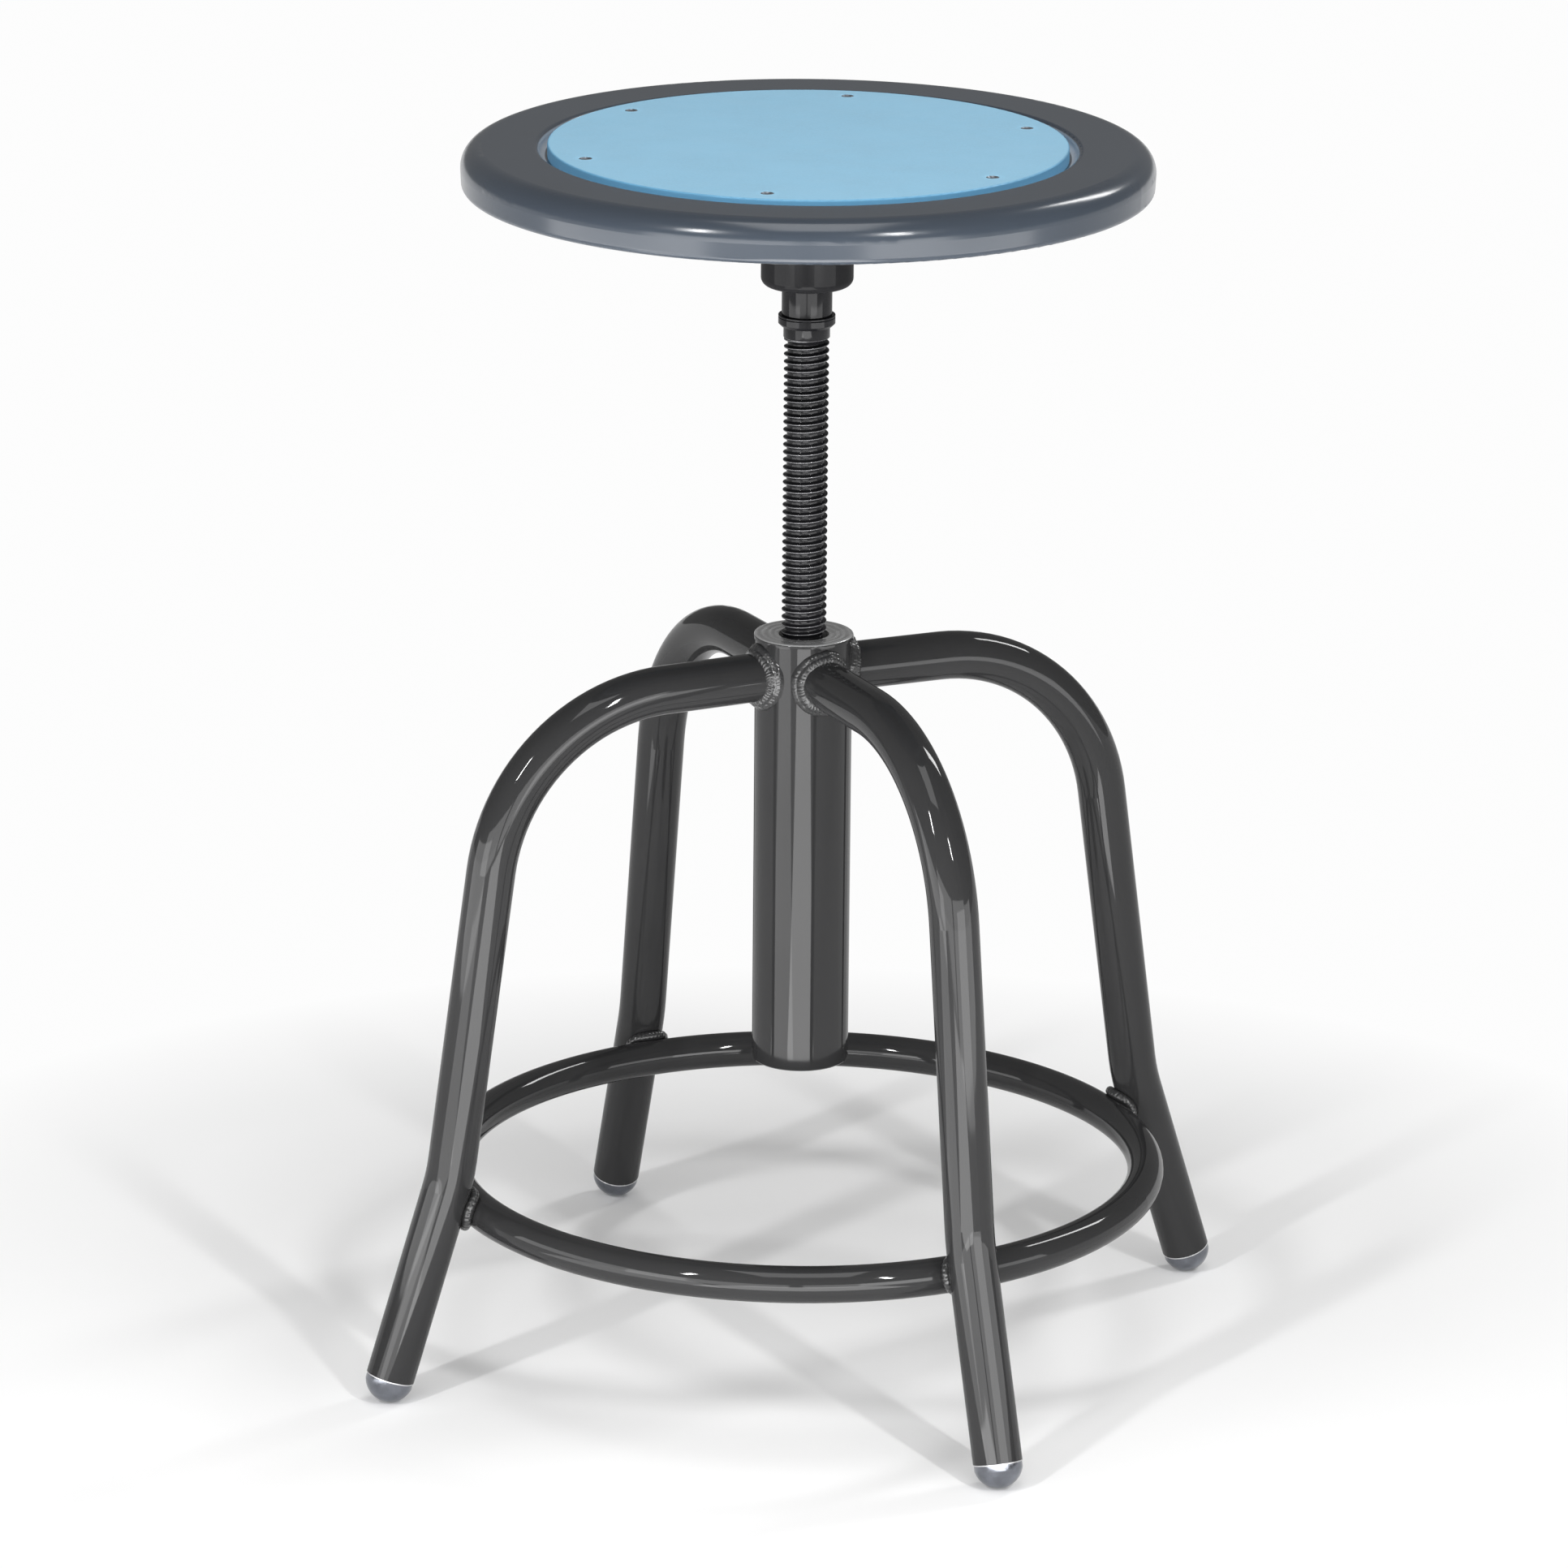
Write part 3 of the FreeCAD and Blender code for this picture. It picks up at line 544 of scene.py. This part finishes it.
def board_finish():
    """Blue board: faint mottling, a darker edge and a paler ring round each rivet."""
    nodes = Nodes("blue_board")
    colour = settings().colours.board
    sizes = settings().rivet
    reach = nodes.reach()
    angle = nodes.math("SUBTRACT", nodes.math("ARCTAN2", nodes.y, nodes.x), sizes.first_angle)
    half = TURN / sizes.count / 2
    fold = nodes.math("WRAP", angle, half, -half)
    along = nodes.math("SUBTRACT", nodes.math("MULTIPLY", reach, nodes.math("COSINE", fold)),
                       sizes.circle_diameter / 2)
    across = nodes.math("MULTIPLY", reach, nodes.math("SINE", fold))
    from_rivet = nodes.distance(along, across)
    cloud = nodes.cloud(30, 5, roughness=0.6)
    tone = nodes.mix(cloud, shade(colour, 0.965), shade(colour, 1.035))
    grain = nodes.cloud(900, 3, band=NARROW, roughness=0.6)
    tone = nodes.mix(grain, tone, shade(colour, 1.05))
    near, far = (sizes.head_diameter / 2 * times for times in PALE_RING_REACH)
    # A lighter ring round each rivet's head, fading outwards
    pale_ring = nodes.remap(from_rivet, near, far, PALE_RING_STRENGTH, 0)
    tone = nodes.mix(pale_ring, tone, shade(colour, 1.25))
    edge = radius_of("seat_board")
    rim = nodes.remap(reach, edge - BOARD_EDGE[0], edge - BOARD_EDGE[1], 0, 1)
    tone = nodes.mix(rim, tone, [value * share for value, share in zip(colour, BOARD_EDGE_TONE)])
    skin = nodes.bump(nodes.noise(1400, 3, 0.6), 0.00003)
    return nodes.shader(tone, nodes.cloud(45, 4, 0.42, 0.55), skin, specular_ior_level=0.4)


# Meshes

def closed_mesh(name, points, faces, pick=None):
    """Mesh with no doubled points, facing outwards; pick gives a face's finish from its centre."""
    mesh = bpy.data.meshes.new(name)
    build = bmesh.new()
    corners = [build.verts.new(point) for point in points]
    for face in faces:
        build.faces.new([corners[index] for index in face])
    bmesh.ops.remove_doubles(build, verts=build.verts, dist=MERGE)
    bmesh.ops.recalc_face_normals(build, faces=build.faces)
    if pick:
        for face in build.faces:
            face.material_index = pick(face.calc_center_median())
    build.to_mesh(mesh)
    build.free()
    return mesh


def put_in_scene(name, data):
    item = bpy.data.objects.new(name, data)
    bpy.context.scene.collection.objects.link(item)
    return item


def make_piece(name, points, faces, body, slot, materials, crease=35, pick=None):
    """A closed piece that rides on a body, smooth where faces meet at less than the crease."""
    mesh = closed_mesh(name, points, faces, pick)
    mesh.shade_smooth()
    mesh.set_sharp_from_angle(angle=math.radians(crease))
    for material in materials:
        mesh.materials.append(material)
    piece = put_in_scene(name, mesh)
    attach(piece, body)
    return piece


def about_axis(radius, angle, height):
    return Vector((radius * math.cos(angle), radius * math.sin(angle), height))


def loft(rings, closed_rings=True, loop=False):
    """Points and quads of a surface through rings of points, all of one length."""
    count = len(rings[0])
    points = [point for ring in rings for point in ring]
    faces = []
    bands = len(rings) if loop else len(rings) - 1
    steps = count if closed_rings else count - 1
    for band in range(bands):
        lower = band * count
        upper = (band + 1) % len(rings) * count
        for step in range(steps):
            after = (step + 1) % count
            faces.append((lower + step, lower + after, upper + after, upper + step))
    return points, faces


def join(*parts):
    """One list of points and one of faces from several."""
    points = []
    faces = []
    for part_points, part_faces in parts:
        shift = len(points)
        points += part_points
        faces += [tuple(index + shift for index in face) for face in part_faces]
    return points, faces


def rounded(corners, steps=6):
    """Outline points through (radius, height, rounding) corners, each rounding in a few steps."""
    outline = []
    for index, (radius, height, rounding) in enumerate(corners):
        here = Vector((radius, height))
        if not rounding:
            outline.append(tuple(here))
            continue
        before = (Vector(corners[index - 1][:2]) - here).normalized()
        after = (Vector(corners[(index + 1) % len(corners)][:2]) - here).normalized()
        half = before.angle(after) / 2
        centre = here + (before + after).normalized() * rounding / math.sin(half)
        first = here + before * rounding / math.tan(half) - centre
        last = here + after * rounding / math.tan(half) - centre
        sweep = first.angle(last)
        for step in range(steps + 1):
            turn = sweep * step / steps
            spoke = (first * math.sin(sweep - turn) + last * math.sin(turn)) / math.sin(sweep)
            outline.append(tuple(centre + spoke))
    return outline


def turned(outline, segments):
    """Surface turned about the Z axis from (radius, height) points."""
    rings = [[about_axis(radius, TURN * step / segments, height) for step in range(segments)]
             for radius, height in outline]
    return loft(rings)


def unit(vector):
    return vector.normalized()


def moved(part, matrix):
    points, faces = part
    return [matrix @ point for point in points], faces


# Screw thread

def thread_radius(angle, height):
    """Radius of the spindle's thread at a place: rounded crest, sloping flanks, flat root."""
    screw = settings().thread
    turns = (height - screw.crest_height) / screw.pitch - angle / TURN
    offset = abs(turns - round(turns)) * screw.pitch
    crest = screw.diameter / 2
    last_offset, last_drop = 0, 0
    for at, drop in THREAD_SECTION:
        if offset <= at:
            share = (offset - last_offset) / (at - last_offset)
            return crest - last_drop - share * (drop - last_drop)
        last_offset, last_drop = at, drop
    return crest - last_drop


def thread_sheet(radius_at, low, high):
    """Surface between two heights whose rows of points follow the screw's helix."""
    screw = settings().thread
    offsets = [at for at, _ in THREAD_SECTION]
    rows = [-at for at in reversed(offsets)] + [0] + offsets
    first = math.floor((low - screw.crest_height) / screw.pitch) - SPARE_TURNS
    last = math.ceil((high - screw.crest_height) / screw.pitch) + SPARE_TURNS
    rings = []
    for start in [turn * screw.pitch + row for turn in range(first, last) for row in rows]:
        ring = []
        for step in range(screw.segments + 1):
            angle = TURN * step / screw.segments
            height = screw.crest_height + start + screw.pitch * step / screw.segments
            height = min(max(height, low), high)
            ring.append(about_axis(radius_at(angle, height), angle, height))
        rings.append(ring)
    points, faces = loft(rings, closed_rings=False)
    between = [face for face in faces
               if not all(points[index].z == low for index in face)
               and not all(points[index].z == high for index in face)]
    return points, between


# Pieces

def spindle_mesh():
    """Shank, land, cut thread, bush seat and the tapped hole in the lower end."""
    sizes = settings().spindle
    screw = settings().thread
    bottom = bottom_of("threaded_spindle")
    top = top_of("threaded_spindle")
    shank = radius_of("threaded_spindle")
    shoulder = top_of("guide_bush")
    land_bottom = top_of("column_nut") + screw.exposed
    land_top = top_of("collar_washer")
    land = sizes.land_diameter / 2
    neck = sizes.neck_diameter / 2
    hole = sizes.bolt_diameter / 2
    bevel = sizes.bevel
    seat = neck + sizes.shoulder_step

    def radius_at(angle, height):
        cut = min(thread_radius(angle, height), seat + height - shoulder)
        return max(cut, land - (land_bottom - height))

    hole_end = bottom + sizes.bolt_reach
    lower = turned([(0, hole_end), (hole, hole_end), (hole, bottom), (neck - bevel, bottom),
                    (neck, bottom + bevel), (neck, shoulder), (seat, shoulder)], screw.segments)
    upper = turned([(land, land_bottom), (land, land_top), (shank, land_top),
                    (shank, top - bevel), (shank - bevel, top), (0, top)], screw.segments)
    return join(lower, thread_sheet(radius_at, shoulder, land_bottom), upper)


def nut_mesh():
    """Bush tapped right through, under a thin dished flange."""
    sizes = settings().nut
    screw = settings().thread
    top = top_of("column_nut")
    bottom = bottom_of("column_nut")
    edge = radius_of("column_nut")
    column_top = top_of("column_tube")
    mouth = screw.diameter / 2 + sizes.mouth_bevel
    body = sizes.body_diameter / 2
    dish = top - sizes.dish_depth

    def radius_at(angle, height):
        cut = thread_radius(angle, height) + screw.fit
        return max(cut, mouth - (dish - height), mouth - (height - bottom))

    outline = rounded([(mouth, bottom, 0), (body - sizes.mouth_bevel, bottom, 0),
                       (body, bottom + sizes.mouth_bevel, 0), (body, column_top, 0),
                       (edge, column_top, 0), (edge, top, sizes.edge_radius), (mouth, dish, 0)])
    return join(turned(outline, screw.segments), thread_sheet(radius_at, bottom, dish))


def leg_matrix(name):
    angle = TURN * (LEG_NAMES.index(name) + 0.5) / len(LEG_NAMES)
    return Matrix.Rotation(angle, 4, "Z")


def unevenness(angle, seed):
    """Smooth drift between -1 and 1 that closes after one turn, different for each seed."""
    return sum(share * math.sin(count * angle + seed * (WAVE_SHIFT + count))
               for count, share in WAVES)


def arch(share):
    """0 at both ends of a share from 0 to 1, and 1 half way."""
    return 1 - (2 * share - 1) ** 2


def ripple(turn, bow):
    """Height of a ripple from 0 to 1, one for each turn, lagging where the bead bows."""
    return abs(math.cos(math.pi * (turn + RIPPLE_LAG * bow)))


def root_corner(angle, column):
    """Where the leg along +X meets the column's face, at an angle round the leg from its top."""
    legs = settings().legs
    side = legs.diameter / 2 * math.sin(angle)
    out = math.sqrt(column ** 2 - side ** 2)
    height = legs.root_height - (out - column) * math.tan(legs.root_slope)
    return Vector((out, side, height + legs.diameter / 2 * math.cos(angle)))


def root_toes(angle, column, drift):
    """Corner of the root, the bead's toes on the column and on the leg, and the way it swells."""
    sizes = settings().welds
    place = root_corner(angle, column)
    before, after = (root_corner(angle + step, column) for step in (-TANGENT_STEP, TANGENT_STEP))
    along = unit(after - before)
    from_column = unit(Vector((place.x, place.y, 0)))
    from_leg = Vector((0, math.sin(angle), math.cos(angle)))
    up_column = unit(from_column.cross(along))
    if up_column.dot(from_leg) < 0:
        up_column = -up_column
    out_leg = unit(from_leg.cross(along))
    if out_leg.x < 0:
        out_leg = -out_leg
    reach = sizes.leg_size + drift / 2
    column_toe = place + up_column * reach
    flat = unit(Vector((column_toe.x, column_toe.y, 0))) * (column - sizes.sink)
    column_toe = Vector((flat.x, flat.y, column_toe.z))
    leg_toe = place + out_leg * (reach + drift / 2) - from_leg * sizes.sink
    return place, column_toe, leg_toe, unit(from_column + from_leg)


def bead_height(share, turn, drift):
    """Height of a leg's bead over the line between its toes: two rippled passes on a crown."""
    sizes = settings().welds
    lobe, inner = (share * 2, 0) if share < 0.5 else (share * 2 - 1, 1)
    bow = arch(lobe)
    rough = (sizes.ripple if inner else sizes.ripple / 2) * ripple(turn + PASS_SHIFT * inner, bow)
    return (sizes.crown + drift) * arch(share) + bow * (sizes.lobe + rough)


def leg_bead(seed):
    """Rippled fillet bead round the root of the leg that points along +X."""
    sizes = settings().welds
    column = radius_of("column_tube")
    steps = sizes.leg_ripples * RIPPLE_STEPS
    rings = []
    for step in range(steps):
        angle = TURN * step / steps
        drift = sizes.wander * unevenness(angle, seed)
        turn = step / RIPPLE_STEPS + RIPPLE_WANDER * unevenness(angle, seed + 1)
        place, column_toe, leg_toe, swell = root_toes(angle, column, drift)
        ring = [place - swell * sizes.sink * ROOT_SINKS]
        for row in range(sizes.rows + 1):
            share = row / sizes.rows
            ring.append(column_toe.lerp(leg_toe, share) + swell * bead_height(share, turn, drift))
        rings.append(ring)
    return loft(rings, loop=True)


def ring_touch(steps):
    """Centres of a ball that rolls in the crevice between the foot ring and the leg along +X."""
    legs = settings().legs
    leg = legs.diameter / 2
    ball = settings().welds.ring_radius
    tube = (top_of("foot_ring") - bottom_of("foot_ring")) / 2
    ring_height = bottom_of("foot_ring") + tube
    ring_radius = radius_of("foot_ring") - tube
    downward = Vector((math.sin(legs.flare), 0, -math.cos(legs.flare)))
    inward = Vector((-math.cos(legs.flare), 0, -math.sin(legs.flare)))
    foot = Vector((legs.foot_radius, 0, legs.foot_height))
    on_axis = foot + downward * (Vector((ring_radius, 0, ring_height)) - foot).dot(downward)

    def centre(angle, reach):
        rise = math.sqrt((leg + ball) ** 2 - (reach * math.cos(angle)) ** 2)
        sideways = Vector((0, math.cos(angle), 0)) + downward * math.sin(angle)
        return on_axis + inward * rise + sideways * reach

    def gap(place):
        from_ring = math.hypot(math.hypot(place.x, place.y) - ring_radius, place.z - ring_height)
        return from_ring - tube - ball

    line = []
    for step in range(steps):
        angle = TURN * step / steps
        near, far = 0, leg
        for _ in range(TOUCH_HALVINGS):
            middle = (near + far) / 2
            if gap(centre(angle, middle)) < 0:
                near = middle
            else:
                far = middle
        line.append(centre(angle, near))
    return line


def ring_bead():
    """Rippled bead in the crevice where the leg along +X touches the foot ring."""
    sizes = settings().welds
    steps = sizes.ring_ripples * RIPPLE_STEPS
    line = ring_touch(steps)
    middle = sum(line, Vector()) / steps
    rings = []
    for step in range(steps):
        ahead = unit(line[(step + 1) % steps] - line[step - 1])
        outward = line[step] - middle
        outward = unit(outward - ahead * outward.dot(ahead))
        across = ahead.cross(outward)
        ring = []
        for row in range(RING_BEAD_ROWS):
            angle = TURN * row / RING_BEAD_ROWS
            bow = max(math.cos(angle), 0)
            swell = sizes.ring_proud + sizes.ripple * ripple(step / RIPPLE_STEPS, bow) * bow
            spoke = outward * math.cos(angle) + across * math.sin(angle)
            ring.append(line[step] + spoke * (sizes.ring_radius + swell))
        rings.append(ring)
    return loft(rings, loop=True)


def glide_mesh():
    """Stem in the tube, thin bright lip and a round crown, along -Z from the tube's end."""
    sizes = settings().glide
    edge = settings().legs.diameter / 2
    stem = sizes.stem_diameter / 2
    lip = sizes.lip
    groove = sizes.groove
    crown = -sizes.crown_drop
    outline = rounded([(0, sizes.stem_length, 0), (stem - sizes.bevel, sizes.stem_length, 0),
                       (stem, sizes.stem_length - sizes.bevel, 0), (stem, 0, 0), (edge, 0, lip / 4),
                       (edge, -lip, lip / 4), (edge - groove, -lip, 0)])
    start = math.acos((edge - groove) / edge)
    for step in range(CROWN_STEPS + 1):
        angle = start + (TURN / 4 - start) * step / CROWN_STEPS
        outline.append((edge * math.cos(angle), crown - edge * math.sin(angle)))
    return turned(outline, GLIDE_SEGMENTS)


def rivet_mesh():
    """Dished rivet head flush with the board, on its shank with a set tail under the pan."""
    sizes = settings().rivet
    top = top_of("board_rivets")
    bottom = bottom_of("board_rivets")
    head = sizes.head_diameter / 2
    shank = sizes.shank_diameter / 2
    tail = sizes.tail_diameter / 2
    hole = sizes.hole / 2
    tail_top = bottom + sizes.tail_height
    head_bottom = top - sizes.head_height
    dish = top - sizes.dish
    outline = [(0, bottom, 0), (tail, bottom, sizes.tail_height / 2), (tail, tail_top, 0),
               (shank, tail_top, 0), (shank, head_bottom, 0), (head, top, sizes.dish / 2),
               (sizes.dish_mouth / 2, top, 0), (sizes.dish_floor / 2, dish, 0), (hole, dish, 0),
               (hole, head_bottom, 0), (0, head_bottom, 0)]
    return turned(rounded(outline, steps=4), RIVET_SEGMENTS)


# Operators, one for each piece or group of like pieces

class StoolOperator(Operator):
    bl_options = {"REGISTER", "UNDO"}


class STOOL_OT_seat_pan(StoolOperator):
    """Enamel on the pressed seat pan and the plate under it"""
    bl_idname = "stool.seat_pan"
    bl_label = "Seat pan"

    def execute(self, context):
        paint = rim_enamel()
        for node in ("seat_pan", "backing_plate"):
            dress(node, paint)
        return {"FINISHED"}


class STOOL_OT_seat_board(StoolOperator):
    """Blue board with its worn face and the pale rings round the rivets"""
    bl_idname = "stool.seat_board"
    bl_label = "Seat board"

    def execute(self, context):
        dress("seat_board", board_finish())
        return {"FINISHED"}


class STOOL_OT_board_rivets(StoolOperator):
    """Dished rivets that hold the board in the pan"""
    bl_idname = "stool.board_rivets"
    bl_label = "Board rivets"

    def execute(self, context):
        sizes = settings().rivet
        rivets = []
        for index in range(sizes.count):
            angle = sizes.first_angle + TURN * index / sizes.count
            outward = Matrix.Translation((sizes.circle_diameter / 2, 0, 0))
            rivets.append(moved(rivet_mesh(), Matrix.Rotation(angle, 4, "Z") @ outward))
        piece = make_piece("dished_rivets", *join(*rivets), SEAT, "dark_steel",
                           [dark_steel()])
        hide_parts("board_rivets")
        return {"FINISHED"}


class STOOL_OT_hub(StoolOperator):
    """Black hub with the screws, nuts and set screw that fix it"""
    bl_idname = "stool.hub"
    bl_label = "Hub"

    def execute(self, context):
        dress("seat_hub", hub_enamel())
        for node in ("hub_screws", "hub_nuts", "hub_set_screw"):
            dress(node, dark_steel())
        return {"FINISHED"}


class STOOL_OT_spindle(StoolOperator):
    """Black spindle with its real thread, and the collar and washer on it"""
    bl_idname = "stool.spindle"
    bl_label = "Spindle"

    def execute(self, context):
        thread_top = top_of("column_nut") + settings().thread.exposed

        def on_thread(centre):
            return 1 if centre.z < thread_top else 0

        piece = make_piece("cut_spindle", *spindle_mesh(), SEAT, "black_oxide",
                           [spindle_black(), thread_black()], crease=50, pick=on_thread)
        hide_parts("threaded_spindle")
        dress("stop_collar", spindle_black())
        dress("collar_washer", spindle_black())
        return {"FINISHED"}


class STOOL_OT_guide(StoolOperator):
    """Guide bush on the spindle's lower end, with its washer and bolt"""
    bl_idname = "stool.guide"
    bl_label = "Guide"

    def execute(self, context):
        dress("guide_bush", nylon("guide_nylon"))
        dress("end_washer", zinc())
        dress("end_bolt", zinc())
        return {"FINISHED"}


class STOOL_OT_column(StoolOperator):
    """Enamel on the column, and the tapped nut in its top"""
    bl_idname = "stool.column"
    bl_label = "Column"

    def execute(self, context):
        dress("column_tube", frame_enamel())
        mouth = settings().thread.diameter / 2
        dish = top_of("column_nut") - settings().nut.dish_depth

        def on_face(centre):
            return 1 if centre.z > dish and math.hypot(centre.x, centre.y) > mouth else 0

        piece = make_piece("tapped_nut", *nut_mesh(), BASE, "frame_paint",
                           [frame_enamel(), turned_face()], crease=40, pick=on_face)
        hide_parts("column_nut")
        return {"FINISHED"}


class STOOL_OT_legs(StoolOperator):
    """Enamel on the legs, and the rippled weld beads round their roots"""
    bl_idname = "stool.legs"
    bl_label = "Legs"

    def execute(self, context):
        beads = []
        for seed, name in enumerate(LEG_NAMES):
            dress("leg_" + name, frame_enamel())
            beads.append(moved(leg_bead(seed), leg_matrix(name)))
        piece = make_piece("leg_beads", *join(*beads), BASE, "frame_paint",
                           [bead_enamel()], crease=60)
        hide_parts("leg_welds")
        return {"FINISHED"}


class STOOL_OT_foot_ring(StoolOperator):
    """Enamel on the foot ring, and the beads that join it to the legs"""
    bl_idname = "stool.foot_ring"
    bl_label = "Foot ring"

    def execute(self, context):
        dress("foot_ring", frame_enamel())
        beads = [moved(ring_bead(), leg_matrix(name)) for name in LEG_NAMES]
        piece = make_piece("ring_beads", *join(*beads), BASE, "frame_paint",
                           [bead_enamel()], crease=60)
        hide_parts("ring_welds")
        return {"FINISHED"}


class STOOL_OT_glides(StoolOperator):
    """Domed steel glides in the ends of the legs"""
    bl_idname = "stool.glides"
    bl_label = "Glides"

    def execute(self, context):
        legs = settings().legs
        sizes = settings().glide
        place = Matrix.Translation((legs.foot_radius, 0, legs.foot_height))
        place = place @ Matrix.Rotation(-legs.flare, 4, "Y")

        for name in LEG_NAMES:
            matrix = leg_matrix(name) @ place
            back = matrix.inverted()

            def on_crown(centre):
                return 1 if (back @ centre).z < -sizes.lip - MERGE else 0

            piece = make_piece("domed_glide_" + name, *moved(glide_mesh(), matrix), BASE,
                               "glide_steel", [bright_steel(), crown_steel()], crease=30,
                               pick=on_crown)
            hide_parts("glide_" + name)
        return {"FINISHED"}


class STOOL_OT_studio(StoolOperator):
    """Pale floor, soft lamps and the camera"""
    bl_idname = "stool.studio"
    bl_label = "Studio"

    def execute(self, context):
        studio = settings().studio
        lay_floor(studio)
        light_world(context.scene)
        for lamp in LAMPS:
            hang_lamp(*lamp)
        context.scene.camera = stand_camera(studio)
        context.scene.view_settings.view_transform = "Standard"
        return {"FINISHED"}


# Studio

def lay_floor(studio):
    outline = [(0, 0), (studio.floor_radius / 8, 0), (studio.floor_radius, 0),
               (studio.floor_radius, -studio.floor_depth), (0, -studio.floor_depth)]
    mesh = closed_mesh("pale_floor", *turned(outline, FLOOR_SEGMENTS))
    mesh.materials.append(floor_finish(studio))
    floor = put_in_scene("pale_floor", mesh)


def seen_directly(nodes):
    """1 for a ray that shows the surface to the camera, in a gloss or through glass."""
    path = nodes.tree.nodes.new("ShaderNodeLightPath").outputs
    seen = nodes.math("MAXIMUM", path["Is Camera Ray"], path["Is Glossy Ray"])
    return nodes.math("MAXIMUM", seen, path["Is Transmission Ray"])


def floor_finish(studio):
    """Pale matt floor that fades to plain white away from the stool."""
    nodes = Nodes("pale_floor")
    matt = nodes.tree.nodes.new("ShaderNodeBsdfDiffuse")
    nodes.link(nodes.mix(nodes.cloud(1.5, 3), *FLOOR_TONES), matt.inputs["Color"])
    white = nodes.tree.nodes.new("ShaderNodeEmission")
    white.inputs["Strength"].default_value = studio.white_level
    fade = nodes.remap(nodes.reach(), studio.fade_start, studio.fade_end, 0, 1)
    shown = nodes.math("MULTIPLY", fade, seen_directly(nodes))
    surface = nodes.blend(shown, matt.outputs["BSDF"], white.outputs["Emission"])
    nodes.link(surface, nodes.output.inputs["Surface"])
    return nodes.material


def light_world(scene):
    """Even pale light from all round."""
    world = bpy.data.worlds.new("pale_room")
    world.use_nodes = True
    room = world.node_tree.nodes["Background"]
    room.inputs["Color"].default_value = (*ROOM_TONE, 1)
    room.inputs["Strength"].default_value = settings().studio.room_level
    scene.world = world


def facing(place, right, view):
    """Matrix of a lamp or camera at a place, looking along view with its right side along right."""
    over = right.cross(view)
    return Matrix.Translation(place) @ Matrix((right, over, -view)).transposed().to_4x4()


def hang_lamp(name, turn, place, aim, size, setting):
    """Soft box from one row of LAMPS."""
    studio = settings().studio
    heading = studio.camera_heading + math.radians(turn)
    outward = Vector((math.cos(heading), math.sin(heading), 0))
    up = Vector((0, 0, 1))
    light = bpy.data.lights.new(name, "AREA")
    light.shape = "RECTANGLE"
    light.size, light.size_y = size
    light.energy = getattr(studio, setting) * size[0] * size[1] * math.pi
    lamp = put_in_scene(name, light)
    view = unit(outward * (aim[0] - place[0]) + up * (aim[1] - place[1]))
    lamp.matrix_world = facing(outward * place[0] + up * place[1], up.cross(outward), view)
    lamp.visible_camera = False


def stand_camera(studio):
    """Camera at its place, turned by its yaw, pitch and roll away from the column's axis."""
    back = Vector((math.cos(studio.camera_heading), math.sin(studio.camera_heading), 0))
    up = Vector((0, 0, 1))
    ahead = -back
    side = ahead.cross(up)
    ahead = ahead * math.cos(studio.camera_yaw) + side * math.sin(studio.camera_yaw)
    side = unit(ahead.cross(up))
    view = ahead * math.cos(studio.camera_pitch) - up * math.sin(studio.camera_pitch)
    over = side.cross(view)
    right = side * math.cos(studio.camera_roll) + over * math.sin(studio.camera_roll)
    lens = bpy.data.cameras.new("stool_camera")
    lens.sensor_width = SENSOR_WIDTH
    lens.lens = studio.lens
    camera = put_in_scene("stool_camera", lens)
    place = back * studio.camera_distance + up * studio.camera_height
    camera.matrix_world = facing(place, right, view)
    return camera


# Panel and registration

class STOOL_PT_panel(Panel):
    bl_label = "Machinist Stool"
    bl_idname = "STOOL_PT_panel"
    bl_space_type = "VIEW_3D"
    bl_region_type = "UI"
    bl_category = "Stool"

    def draw(self, context):
        for step in STEPS:
            self.layout.operator(step.bl_idname)
        for name, group in settings().bl_rna.properties.items():
            if group.type != "POINTER" or name == "rna_type":
                continue
            box = self.layout.box()
            box.label(text=name.title())
            values = getattr(settings(), name)
            for key in values.bl_rna.properties.keys():
                if key not in ("rna_type", "name"):
                    box.prop(values, key)


STEPS = (STOOL_OT_seat_pan, STOOL_OT_seat_board, STOOL_OT_board_rivets, STOOL_OT_hub,
         STOOL_OT_spindle, STOOL_OT_guide, STOOL_OT_column, STOOL_OT_legs, STOOL_OT_foot_ring,
         STOOL_OT_glides, STOOL_OT_studio)
GROUPS = (StoolColours, StoolRecess, StoolThread, StoolSpindle, StoolNut, StoolLegs, StoolWelds,
          StoolGlides, StoolRivets, StoolStudio, StoolSettings)
CLASSES = GROUPS + STEPS + (STOOL_PT_panel,)


def register():
    for item in CLASSES:
        bpy.utils.register_class(item)
    bpy.types.Scene.stool = PointerProperty(type=StoolSettings)


def unregister():
    del bpy.types.Scene.stool
    for item in reversed(CLASSES):
        bpy.utils.unregister_class(item)


def main():
    register()
    for step in STEPS:
        group, name = step.bl_idname.split(".")
        getattr(getattr(bpy.ops, group), name)()


if __name__ == "__main__":
    main()
